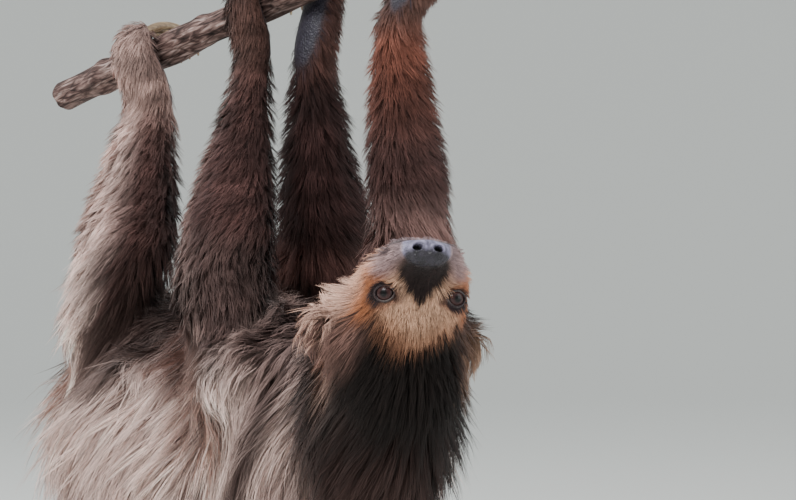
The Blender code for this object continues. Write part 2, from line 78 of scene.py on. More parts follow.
# Places on the head, in its own axes: forward out of the nose, left, and crown.
EYE_RADIUS = 0.0078
EYE_SEAT = (0.0346, 0.0209, 0.0136)
EYE_LOOK = (0.80, 0.36, 0.48)
EYE_OPENING = (0.0059, 0.0043)
LID_POWER = 1.7
NOSTRIL = (0.0745, 0.0066, 0.0004)
MOUTH_CROWN = -0.0105
EAR_SEATS = {"ear_left": (-0.020, 0.0370, 0.0120), "ear_right": (-0.025, -0.0275, 0.0130)}
EAR_RADII = (0.0085, 0.0095, 0.0095)
NOSE_TIP = (0.074, 0.0, -0.002)
FACE_MIDDLE = (0.048, 0.0, 0.002)
BROW_MIDDLE = (0.0400, 0.0, 0.0150)

UP = np.array((0.0, 0.0, 1.0))
REAR = np.array((0.0, 1.0, 0.0))
MIDLINE = -0.012
WELD = 1e-5

# The unwrap of the surfaces, and the size of a strand's patch on it.
UV_NAME = "OFBake"
PATCH = 0.003


class Slot(Enum):
    """Finishes of the record that the pieces stand for."""

    GREY_COAT = "coat_grey"
    BROWN_COAT = "coat_brown"
    FACE = "face_tan"
    EYE = "eye_brown"
    BARK = "bark"


class Side(IntEnum):
    """Sides of the animal in the head's axes, where left is positive."""

    RIGHT = -1
    LEFT = 1


def srgb(code: str) -> Rows:
    """Turns a hex colour as seen on a screen into linear light.

    Args:
        code: Six hex digits, such as "c0a080".

    Returns:
        Three linear values from 0 to 1.
    """
    value = np.array([int(code[i : i + 2], 16) for i in (0, 2, 4)]) / 255.0
    return np.where(value <= 0.04045, value / 12.92, ((value + 0.055) / 1.055) ** 2.4)


def ease(value: Rows, low: float, high: float) -> Rows:
    """Smooth step from 0 at low to 1 at high, where high may be less than low."""
    t = np.clip((value - low) / (high - low), 0.0, 1.0)
    return t * t * (3.0 - 2.0 * t)


def bell(value: Rows, middle: float | Rows, width: float) -> Rows:
    """A smooth bump that is 1 at the middle and near 0 two widths away."""
    return np.exp(-(((value - middle) / width) ** 2))


def unit(rows: Rows) -> Rows:
    """Scales each row vector to length 1."""
    size = np.linalg.norm(rows, axis=-1, keepdims=True)
    return rows / np.maximum(size, 1e-9)


def flatten(rows: Rows, normals: Rows) -> Rows:
    """Takes away what points out of the skin, so that each row lies along it."""
    return rows - normals * (rows * normals).sum(axis=1, keepdims=True)


def mix(first: str | Rows, second: str | Rows, share: Rows) -> Rows:
    """Blends colours row by row.

    Args:
        first: Colours where share is 0, or one hex code for all.
        second: Colours where share is 1, or one hex code for all.
        share: One number for each row.

    Returns:
        The blended linear colours.
    """
    first, second = (srgb(tint) if isinstance(tint, str) else tint for tint in (first, second))
    share = np.asarray(share)[..., None]
    return first * (1.0 - share) + second * share


class WaveNoise:
    """Smooth patches from a few crossed waves, the same at the same place each time."""

    def __init__(self, size: float, seed: int, waves: int = 10) -> None:
        """Sets the waves up.

        Args:
            size: Distance between neighbouring patches, in metres.
            seed: Which pattern.
            waves: How many waves are crossed.
        """
        random = np.random.default_rng(seed)
        self.turns = unit(random.normal(size=(waves, 3))) * (math.pi / size)
        self.turns *= random.uniform(0.6, 1.6, (waves, 1))
        self.starts = random.uniform(0, 2 * math.pi, waves)

    def at(self, points: Rows) -> Rows:
        """Height of the noise, about -1 to 1, at each point."""
        waves = np.sin(points @ self.turns.T + self.starts)
        return waves.sum(axis=1) / math.sqrt(len(self.starts) * 0.7)


@dataclass(frozen=True)
class HeadFrame:
    """The head's own axes: forward out of the nose, left, and crown."""

    centre: Triple = (-0.0231, -0.2896, 0.3404)
    yaw: float = 18.0
    pitch: float = 30.0
    roll: float = 5.0

    def axes(self) -> Rows:
        """Turns the axes by yaw, pitch and roll.

        Returns:
            Three rows: forward, left and crown as unit vectors.
        """
        yaw, pitch = math.radians(self.yaw), math.radians(self.pitch)
        level = Vector((-math.sin(yaw), -math.cos(yaw), 0.0))
        forward = level * math.cos(pitch) + Vector((0, 0, math.sin(pitch)))
        crown = level * math.sin(pitch) - Vector((0, 0, math.cos(pitch)))
        left = crown.cross(forward)
        roll = Matrix.Rotation(math.radians(-self.roll), 3, forward)
        return np.array([roll @ forward, roll @ left, roll @ crown])

    def to_local(self, points: Rows) -> Rows:
        """Points in the head's axes."""
        return (points - np.array(self.centre)) @ self.axes().T

    def to_world(self, points: Rows) -> Rows:
        """Points in the head's axes, back in the model's."""
        return points @ self.axes() + np.array(self.centre)


@dataclass(frozen=True)
class Perch:
    """The line of the branch, from the sawn rear end to the sawn front end."""

    rear: Triple = (-0.0310, 0.3050, 0.4990)
    front: Triple = (0.0470, -0.2150, 0.5950)
    bow: float = 0.0020

    def point(self, share: float) -> Rows:
        """The centre of the branch at a share of its length from the rear."""
        line = np.array(self.rear) * (1 - share) + np.array(self.front) * share
        return line + UP * self.bow * math.sin(math.pi * share)

    def along(self) -> Rows:
        """Unit vector from the front end to the rear end."""
        return unit(np.array(self.rear) - np.array(self.front))

    def at_y(self, y: float) -> Rows:
        """The centre of the branch at a place along Y."""
        return self.point((y - self.rear[1]) / (self.front[1] - self.rear[1]))


@dataclass(frozen=True)
class Leg:
    """Joints of one leg and where it grips the branch."""

    name: str
    side: int
    root: Triple
    bend: Triple
    wrist: Triple
    grip_y: float

    @property
    def end(self) -> str:
        """The node name of the hand or foot."""
        return f"{self.name}_{'hand' if self.name.startswith('fore') else 'foot'}"

    def parts(self) -> tuple[str, str, str]:
        """Node names from the body outwards."""
        return f"{self.name}_upper", f"{self.name}_lower", self.end

    def inward(self, perch: Perch) -> tuple[Rows, Rows, Rows]:
        """Finds how the hair lies on each of the three parts, towards the body.

        Args:
            perch: The branch that the leg grips.

        Returns:
            A unit vector for each part.
        """
        root, bend, wrist = (np.array(joint) for joint in (self.root, self.bend, self.wrist))
        grip = perch.at_y(self.grip_y)
        return unit(root - bend), unit(bend - wrist), unit(wrist - grip)

    def outward(self, perch: Perch) -> Rows:
        """Finds the way out of the animal's midline, square to the branch.

        Args:
            perch: The branch that the leg grips.

        Returns:
            A unit vector.
        """
        along = perch.along()
        side = np.array((float(self.side), 0.0, 0.0))
        return unit(side - along * side.dot(along))


HEAD = HeadFrame()
PERCH = Perch()
LEGS = (
    Leg("fore_left", -1, (-0.048, -0.110, 0.246), (-0.0435, -0.038, 0.357),
        (-0.0035, 0.0005, 0.511), 0.012),
    Leg("fore_right", 1, (0.046, -0.110, 0.246), (0.0795, -0.0866, 0.384),
        (0.0455, -0.132, 0.541), -0.154),
    Leg("hind_left", -1, (-0.038, 0.180, 0.236), (-0.0535, 0.1305, 0.350),
        (-0.0165, 0.162, 0.484), 0.159),
    Leg("hind_right", 1, (0.046, 0.136, 0.240), (0.0674, 0.0317, 0.371),
        (0.0340, -0.022, 0.513), -0.027),
)
FACE = ("head", "muzzle", "nose_pad", "lower_jaw")
FLESH = ["trunk", "tail", "neck", *FACE]
FLESH += [part for leg in LEGS for part in leg.parts()] + list(EAR_SEATS)


@dataclass(frozen=True)
class CoatKind:
    """Coat of one part of the body, in metres; crowd is strands on a square centimetre."""

    depth: float
    length: float
    crowd: float
    width: float
    steps: int
    wave: float
    clump: float


COATS = {
    "trunk": CoatKind(0.030, 0.074, 27.0, 0.00078, 6, 0.0032, 0.42),
    "tail": CoatKind(0.008, 0.028, 32.0, 0.00075, 5, 0.0015, 0.50),
    "neck": CoatKind(0.023, 0.052, 42.0, 0.00066, 6, 0.0026, 0.46),
    "head": CoatKind(0.0135, 0.029, 64.0, 0.00052, 5, 0.0012, 0.28),
    "muzzle": CoatKind(0.0008, 0.0040, 150.0, 0.00030, 3, 0.0002, 0.20),
    "nose_pad": CoatKind(0.0, 0.0020, 0.0, 0.0003, 3, 0.0, 0.20),
    "lower_jaw": CoatKind(0.0010, 0.0060, 110.0, 0.00034, 3, 0.0002, 0.20),
    "ear": CoatKind(0.0040, 0.0100, 60.0, 0.00050, 4, 0.0004, 0.20),
    "fore_upper": CoatKind(0.0110, 0.028, 42.0, 0.00062, 5, 0.0024, 0.22),
    "fore_lower": CoatKind(0.0060, 0.0165, 58.0, 0.00053, 4, 0.0019, 0.12),
    "fore_hand": CoatKind(0.0028, 0.0095, 90.0, 0.00044, 3, 0.0004, 0.25),
    "hind_upper": CoatKind(0.0130, 0.033, 40.0, 0.00064, 5, 0.0026, 0.24),
    "hind_lower": CoatKind(0.0075, 0.0200, 54.0, 0.00056, 4, 0.0020, 0.14),
    "hind_foot": CoatKind(0.0032, 0.0105, 90.0, 0.00044, 3, 0.0005, 0.25),
}


def coat_of(node: str) -> CoatKind:
    """The coat of a flesh node, by its name without the side."""
    words = [word for word in node.split("_") if word not in ("left", "right")]
    return COATS["_".join(words)]


def by_weight(weights: Rows, field: str) -> Rows:
    """One number of the coat's kinds, blended by how much of each part a point belongs to."""
    return weights @ np.array([getattr(coat_of(name), field) for name in FLESH])


def share_of(weights: Rows, name: str) -> Rows:
    """How much of one flesh node each point belongs to."""
    return weights[:, FLESH.index(name)]


def face_reach(points: Rows) -> Rows:
    """Distance of each point from the middle of the face, at the root of the muzzle."""
    return np.linalg.norm(HEAD.to_local(points) - np.array(FACE_MIDDLE), axis=1)


def eye_seat(side: int) -> Rows:
    """The centre of one eyeball in head axes."""
    return np.array((EYE_SEAT[0], side * EYE_SEAT[1], EYE_SEAT[2]))


def eye_axes(side: int) -> tuple[Rows, Rows, Rows]:
    """Finds how one eye is turned.

    Args:
        side: Which eye.

    Returns:
        Where it looks, the line of its lids and the way they open, in head axes.
    """
    look = unit(np.array((EYE_LOOK[0], side * EYE_LOOK[1], EYE_LOOK[2])))
    across = np.array((-0.30, side * 1.0, 0.0))
    across = unit(across - look * across.dot(look))
    return look, across, np.cross(look, across)


class EyeView:
    """Where points of the head lie as one eye sees them."""

    def __init__(self, local: Rows, side: int) -> None:
        """Measures the points.

        Args:
            local: Points in head axes.
            side: Which eye.
        """
        self.look, self.across, self.rise = eye_axes(side)
        self.offset = local - eye_seat(side)
        self.reach = np.linalg.norm(self.offset, axis=1)
        self.sides = self.offset @ self.across, self.offset @ self.rise
        self.ring = self.out_of_lids()

    def out_of_lids(self) -> Rows:
        """How far out of the almond-shaped opening points are: 1 on its edge."""
        across, rise = (np.abs(run / half) for run, half in zip(self.sides, EYE_OPENING))
        return (across**LID_POWER + rise**LID_POWER) ** (1 / LID_POWER)


def near_detail(local: Rows) -> Rows:
    """Finds what needs the finest faces: eyes, nostrils and mouth.

    Args:
        local: Points in head axes.

    Returns:
        Whether each point is near one of them.
    """
    side = np.abs(local[:, 1])
    chosen = (local[:, 0] > 0.064) & (side < 0.03)
    for eye in Side:
        chosen |= np.linalg.norm(local - eye_seat(eye), axis=1) < 0.0165
    mouth = (np.abs(local[:, 2] - MOUTH_CROWN - 0.001) < 0.0045) & (local[:, 0] > 0.022)
    return chosen | (mouth & (side < 0.035) & (local[:, 0] < 0.09))


def palm_share(leg: Leg, points: Rows, normals: Rows) -> Rows:
    """Finds the bare palm or sole: the side of the foot that meets the branch.

    Args:
        leg: Which leg.
        points: Places on the skin.
        normals: Outward directions there.

    Returns:
        How much each point is bare, from 0 to 1.
    """
    outward, along = leg.outward(PERCH), PERCH.along()
    up = unit(np.cross(outward, along))
    up = up if up[2] > 0 else -up
    local = points - PERCH.at_y(leg.grip_y)
    rise, across, run = local @ up, local @ outward, np.abs(local @ along)
    heel = -0.052 if leg.name == "hind_right" else -0.040
    facing = ease(normals @ (-outward * 0.9 + up * 0.25), 0.25, 0.70)
    place = ease(rise, heel - 0.006, heel) * ease(rise, 0.014, 0.004) * ease(across, 0.034, 0.026)
    return facing * place * ease(run, 0.022, 0.016)


def pull(items: bpy.types.bpy_prop_collection, field: str, width: int, kind: type) -> Rows:
    """Reads one field of everything in a mesh's collection.

    Args:
        items: Such as the mesh's vertices.
        field: The name of the field.
        width: How many numbers it holds.
        kind: The type that the collection stores.

    Returns:
        One row for each item.
    """
    values = np.empty(len(items) * width, kind)
    items.foreach_get(field, values)
    return values.reshape(-1, width)


def get_points(mesh: Mesh) -> Rows:
    """The vertex places of a mesh as rows."""
    return pull(mesh.vertices, "co", 3, np.float32).astype(np.float64)


def get_normals(mesh: Mesh) -> Rows:
    """The vertex normals of a mesh as rows."""
    return pull(mesh.vertex_normals, "vector", 3, np.float32).astype(np.float64)


def set_points(mesh: Mesh, points: Rows) -> None:
    """Moves the vertices of a mesh to new places."""
    mesh.vertices.foreach_set("co", points.astype(np.float32).ravel())
    mesh.update()


def set_colour(mesh: Mesh, colours: Rows) -> None:
    """Stores the markings.

    Args:
        mesh: Where they are stored.
        colours: One linear colour for each vertex.
    """
    layer = mesh.color_attributes.new("Markings", "FLOAT_COLOR", "POINT")
    rgba = np.column_stack([colours, np.ones(len(colours))]).astype(np.float32)
    layer.data.foreach_set("color", rgba.ravel())


def set_layer(mesh: Mesh, name: str, values: Rows) -> None:
    """Stores numbers or vectors.

    Args:
        mesh: Where they are stored.
        name: Name of the new layer.
        values: One number or one row of three for each vertex.
    """
    kind, field = ("FLOAT", "value") if values.ndim == 1 else ("FLOAT_VECTOR", "vector")
    layer = mesh.attributes.new(name, kind, "POINT")
    layer.data.foreach_set(field, values.astype(np.float32).ravel())


def shade_smooth(mesh: Mesh) -> None:
    """Turns smooth shading on for every face."""
    mesh.polygons.foreach_set("use_smooth", np.ones(len(mesh.polygons), bool))


def wear(piece: Piece, *finishes: bpy.types.Material) -> None:
    """Gives a piece its materials in place of any that it has.

    Args:
        piece: What wears them.
        finishes: The materials in the order of their numbers.
    """
    piece.data.materials.clear()
    for finish in finishes:
        piece.data.materials.append(finish)


def select_only(piece: Piece) -> None:
    """Makes one piece the only one selected, and the active one.

    Args:
        piece: Which piece.
    """
    bpy.ops.object.select_all(action="DESELECT")
    piece.select_set(True)
    bpy.context.view_layer.objects.active = piece


def add_object(name: str, data: bpy.types.ID) -> Piece:
    """Puts a new object into the scene.

    Args:
        name: Its name.
        data: Its mesh, light or camera.

    Returns:
        The object.
    """
    piece = bpy.data.objects.new(name, data)
    bpy.context.scene.collection.objects.link(piece)
    return piece


def add_ball(segments: int = 32, rings: int = 20) -> Piece:
    """A ball of radius 1, whose points its maker moves into place."""
    bpy.ops.mesh.primitive_uv_sphere_add(segments=segments, ring_count=rings, radius=1.0)
    return bpy.context.active_object


def join(pieces: list[Piece], name: str) -> Piece:
    """Joins pieces into the first.

    Args:
        pieces: What is joined.
        name: The new name of the first.

    Returns:
        The joined piece.
    """
    select_only(pieces[0])
    for piece in pieces:
        piece.select_set(True)
    bpy.ops.object.join()
    pieces[0].name = name
    return pieces[0]


def add_modifier(piece: Piece, kind: str, **settings: object) -> str:
    """Adds a modifier to the piece.

    Args:
        piece: What it is added to.
        kind: Blender's name of the modifier type.
        settings: Values of the modifier's fields.

    Returns:
        The modifier's name.
    """
    modifier = piece.modifiers.new(kind.title(), kind)
    for key, value in settings.items():
        setattr(modifier, key, value)
    return modifier.name


def remesh(piece: Piece, voxel: float, rounds: int) -> None:
    """Wraps a piece in one even closed mesh and smooths it.

    Args:
        piece: What is wrapped; its parts may overlap.
        voxel: Size of the new faces.
        rounds: How often it is smoothed.
    """
    select_only(piece)
    wrap = add_modifier(piece, "REMESH", mode="VOXEL", voxel_size=voxel)
    bpy.ops.object.modifier_apply(modifier=wrap)
    even = add_modifier(piece, "SMOOTH", factor=0.5, iterations=rounds)
    bpy.ops.object.modifier_apply(modifier=even)


@contextmanager
def opened(mesh: Mesh) -> Iterator[bmesh.types.BMesh]:
    """Opens a mesh for changes and writes them back at the end.

    Args:
        mesh: What is changed.

    Yields:
        The open mesh.
    """
    shape = bmesh.new()
    shape.from_mesh(mesh)
    yield shape
    shape.to_mesh(mesh)
    shape.free()


def make_outward(piece: Piece) -> None:
    """Turns all faces outwards.

    Args:
        piece: A closed piece.
    """
    with opened(piece.data) as shape:
        bmesh.ops.recalc_face_normals(shape, faces=shape.faces)
        if shape.calc_volume(signed=True) < 0:
            bmesh.ops.reverse_faces(shape, faces=shape.faces)


def nearest_rows(known: Rows, sought: Rows) -> Rows:
    """Finds the nearest known point of each sought one.

    Args:
        known: Points to choose from.
        sought: Points that each want one.

    Returns:
        The row of the known point for each sought one.
    """
    tree = KDTree(len(known))
    for row, point in enumerate(known):
        tree.insert(point, row)
    tree.balance()
    return np.array([tree.find(point)[1] for point in sought])


class Links:
    """Neighbours of each vertex of a mesh, for smoothing numbers over its surface."""

    def __init__(self, mesh: Mesh) -> None:
        """Reads the edges of the mesh.

        Args:
            mesh: The surface to smooth over.
        """
        edges = pull(mesh.edges, "vertices", 2, np.int64)
        ends = np.concatenate([edges, edges[:, ::-1]])
        ends = ends[np.argsort(ends[:, 0], kind="stable")]
        self.others = ends[:, 1]
        counts = np.bincount(ends[:, 0], minlength=len(mesh.vertices))
        self.counts = np.maximum(counts, 1)
        self.starts = np.concatenate([[0], np.cumsum(counts)[:-1]])

    def mean(self, values: Rows) -> Rows:
        """The mean of each vertex's neighbours."""
        sums = np.add.reduceat(values[self.others], self.starts, axis=0)
        return sums / self.counts.reshape(-1, *([1] * (values.ndim - 1)))

    def smooth(self, values: Rows, rounds: int, share: float | Rows = 0.5) -> Rows:
        """Moves values towards their neighbours' mean.

        Args:
            values: A number or a row for each vertex.
            rounds: How often they move.
            share: How much of the way they go each time.

        Returns:
            The smoothed values.
        """
        for _ in range(rounds):
            values = values + (self.mean(values) - values) * share
        return values


def ride(piece: Piece, slot: Slot) -> None:
    """Fixes a finished piece to the body and logs it.

    Args:
        piece: The finished piece.
        slot: The finish in the record that it stands for; not used.
    """
    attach(piece, "root")
    piece.data.calc_loop_triangles()
    LOG.info("%s: %d triangles", piece.name, len(piece.data.loop_triangles))


class Graph:
    """A node material under construction."""

    def __init__(self, name: str) -> None:
        """Starts a material that holds a Principled shader.

        Args:
            name: Name of the material.
        """
        self.material = bpy.data.materials.new(name)
        self.material.use_nodes = True
        self.tree = self.material.node_tree
        self.shader = self.tree.nodes["Principled BSDF"]

    def add(self, kind: str, links: dict | None = None, **settings: object) -> bpy.types.Node:
        """Adds one node.

        Args:
            kind: Blender's node type, after "ShaderNode".
            links: Input name or number to an output socket, or to a constant.
            settings: Values of the node's own fields.

        Returns:
            The node.
        """
        node = self.tree.nodes.new(f"ShaderNode{kind}")
        for key, value in settings.items():
            setattr(node, key, value)
        for key, value in (links or {}).items():
            self.set(node, key, value)
        return node

    def set(self, node: bpy.types.Node, key: str | int, value: object) -> None:
        """Links a socket to an input, or stores a constant there.

        Args:
            node: Whose input it is.
            key: Name or number of the input.
            value: An output socket or a constant.
        """
        if isinstance(value, Socket):
            self.tree.links.new(value, node.inputs[key])
        else:
            node.inputs[key].default_value = value

    def place(self) -> Socket:
        """The object's own coordinates."""
        return self.add("TexCoord").outputs["Object"]

    def reading(self, name: str, output: str = "Fac") -> Socket:
        """A number, colour or vector stored in the mesh."""
        return self.add("Attribute", attribute_name=name).outputs[output]

    def stretch(self, place: Socket, scale: Triple) -> Socket:
        """Coordinates scaled along each axis."""
        return self.add("Mapping", {"Vector": place, "Scale": scale}).outputs[0]

    def noise(self, place: Socket, scale: float, detail: float = 2.0, warp: float = 0.0) -> Socket:
        """Cloudy noise from 0 to 1 over the coordinates, warped by a share of its size."""
        links = {"Vector": place, "Scale": scale, "Detail": detail, "Distortion": warp}
        return self.add("TexNoise", links).outputs["Fac"]

    def maths(self, operation: str, first: Socket, second: float | Socket = 0.5) -> Socket:
        """One sum on one or two values."""
        return self.add("Math", {0: first, 1: second}, operation=operation).outputs[0]

    def span(self, value: Socket, **ends: float) -> Socket:
        """A value mapped to another range; underscores in the ends' names stand for spaces."""
        links = {key.replace("_", " "): end for key, end in ends.items()}
        return self.add("MapRange", {"Value": value, **links}).outputs[0]

    def multiply(self, first: Socket, second: Socket, share: float = 1.0) -> Socket:
        """The first colour darkened or brightened by the second."""
        links = {"Factor": share, 6: first, 7: second}
        return self.add("Mix", links, data_type="RGBA", blend_type="MULTIPLY").outputs[2]

    def ramp(self, factor: Socket, stops: dict[float, str | float]) -> Socket:
        """Runs a colour ramp through the stops.

        Args:
            factor: What runs along the ramp.
            stops: Place along the ramp to a hex code, or to a linear grey.

        Returns:
            The colour output.
        """
        node = self.add("ValToRGB", {"Fac": factor})
        band = node.color_ramp.elements
        while len(band) < len(stops):
            band.new(0.5)
        for item, (place, stop) in zip(band, sorted(stops.items())):
            item.position = place
            item.color = (*(srgb(stop) if isinstance(stop, str) else (stop,) * 3), 1.0)
        return node.outputs["Color"]

    def bump(self, height: Socket, strength: float, distance: float) -> None:
        """Gives the shader a bump.

        Args:
            height: What rises.
            strength: Share of the full bump.
            distance: Height in metres that 1 stands for.
        """
        links = {"Height": height, "Strength": strength, "Distance": distance}
        self.set(self.shader, "Normal", self.add("Bump", links).outputs["Normal"])

    def shade(self, **values: object) -> bpy.types.Material:
        """Finishes the material.

        Args:
            values: Inputs of the shader; underscores in their names stand for spaces.

        Returns:
            The material.
        """
        for key, value in values.items():
            self.set(self.shader, key.replace("_", " "), value)
        return self.material


@dataclass(frozen=True)
class SkinFinish:
    """Bare and furred skin: soft leather under the hair, moist and pebbled on the nose."""

    name: str = "sloth_skin"
    pebble: float = 620.0
    grain: float = 260.0

    def make(self) -> bpy.types.Material:
        """Builds the material; the markings give its colour, bareness its gloss.

        Returns:
            The finished material.
        """
        graph = Graph(self.name)
        place = graph.place()
        cells = graph.add("TexVoronoi", {"Vector": place, "Scale": self.pebble})
        grain = graph.noise(place, self.grain, 5.0)
        mottle = graph.ramp(grain, {0.3: 0.72, 0.7: 1.18})
        colour = graph.multiply(graph.reading("Markings", "Color"), mottle)
        gloss = graph.span(graph.reading("Bare"), To_Min=0.85, To_Max=0.44)
        graph.bump(graph.maths("ADD", cells.outputs["Distance"], grain), 0.8, 0.0009)
        return graph.shade(Base_Color=colour, Roughness=gloss, Specular_IOR_Level=0.4)


@dataclass(frozen=True)
class HairFinish:
    """Hair: each strand has its own tone, dull and slightly soft at the edges."""

    name: str = "sloth_hair"
    fleck: float = 420.0

    def make(self) -> bpy.types.Material:
        """Builds the material; each strand's own colour comes from the markings.

        Returns:
            The finished material.
        """
        graph = Graph(self.name)
        streak = graph.ramp(graph.noise(graph.place(), self.fleck, 3.0), {0.30: 0.80, 0.70: 1.20})
        return graph.shade(
            Base_Color=graph.multiply(graph.reading("Markings", "Color"), streak),
            Roughness=0.66,
            Specular_IOR_Level=0.18,
            Sheen_Weight=0.06,
            Sheen_Roughness=0.5,
        )


@dataclass(frozen=True)
class Tints:
    """Colours of skin and coat, as hex codes on a screen."""

    flank_dark: str = "b0948c"
    flank_pale: str = "f0d2c7"
    # Brown of the belly: partly its own hair, partly painted shade under the body and limbs.
    belly: str = "523c38"
    nape_dark: str = "1d1210"
    nape_brown: str = "412e2a"
    nape_side: str = "d6b9af"
    # Painted shade for the hollows of the coat behind the shoulder and before the thigh.
    hollow_shade: str = "3f2d29"
    limb_root: str = "d8c1b8"
    # Shaded and lit sides of the legs: partly their own darker inner and paler outer hair, partly painted
    # shade and painted rim light.
    shin_dark_shaded_side: str = "5e433f"
    shin_pale_lit_side: str = "e2c3b9"
    shin_top: str = "8a6e66"
    thigh_dark_shaded_side: str = "3f2b27"
    thigh_pale_lit_side: str = "e2c6bc"
    foot_pale: str = "b3948b"
    # The far hind leg, painted darker as shade, with painted rim light on its outer rear edge.
    far_shin_shaded: str = "402a28"
    far_shin_lit_rim: str = "7a6058"
    far_thigh_shaded: str = "7a5650"
    far_thigh_lit_rim: str = "b0958c"
    far_foot_shaded: str = "573b35"
    forearm: str = "4c3431"
    forearm_brown: str = "5c3f3a"
    forearm_red: str = "7d4b3d"
    # Pale outer hair of the forearm with painted rim light on its edge.
    forearm_lit_rim: str = "8e716a"
    forearm_low: str = "9c7b75"
    arm_near: str = "54403c"
    arm_far: str = "80605a"
    # Pale outer hair of the upper arm with painted rim light on its edge.
    arm_lit_rim: str = "a58a82"
    hand: str = "5f443d"
    palm: str = "33303a"
    brow: str = "cda488"
    brow_brown: str = "8f6047"
    crown: str = "150c09"
    mane_brown: str = "71544c"
    mane_tan: str = "9c7c68"
    cheek_orange: str = "ab6a45"
    cheek_pale: str = "dba88e"
    # Pale ruff fur with painted light on its edge.
    ruff_lit_edge: str = "eabea8"
    snout: str = "a18b8e"
    bridge: str = "271c1b"
    lid_outside: str = "8a5b46"
    # Dark lid skin, spread as painted shade.
    lid_dark_and_shade: str = "2c1d20"
    # Pale wet margin of the lower lid, partly a painted reflection.
    lid_rim_and_reflection: str = "766b67"
    tear: str = "3f2e2e"
    pad_dark: str = "28242c"
    # Painted highlight along the nose pad's edge away from the crown.
    pad_highlight: str = "86819a"
    # Dark nostril skin with painted shade inside the holes.
    nostril: str = "0b090b"
    # Dark lip skin with painted shade in the mouth's crease.
    mouth: str = "35292c"


TINTS = Tints()


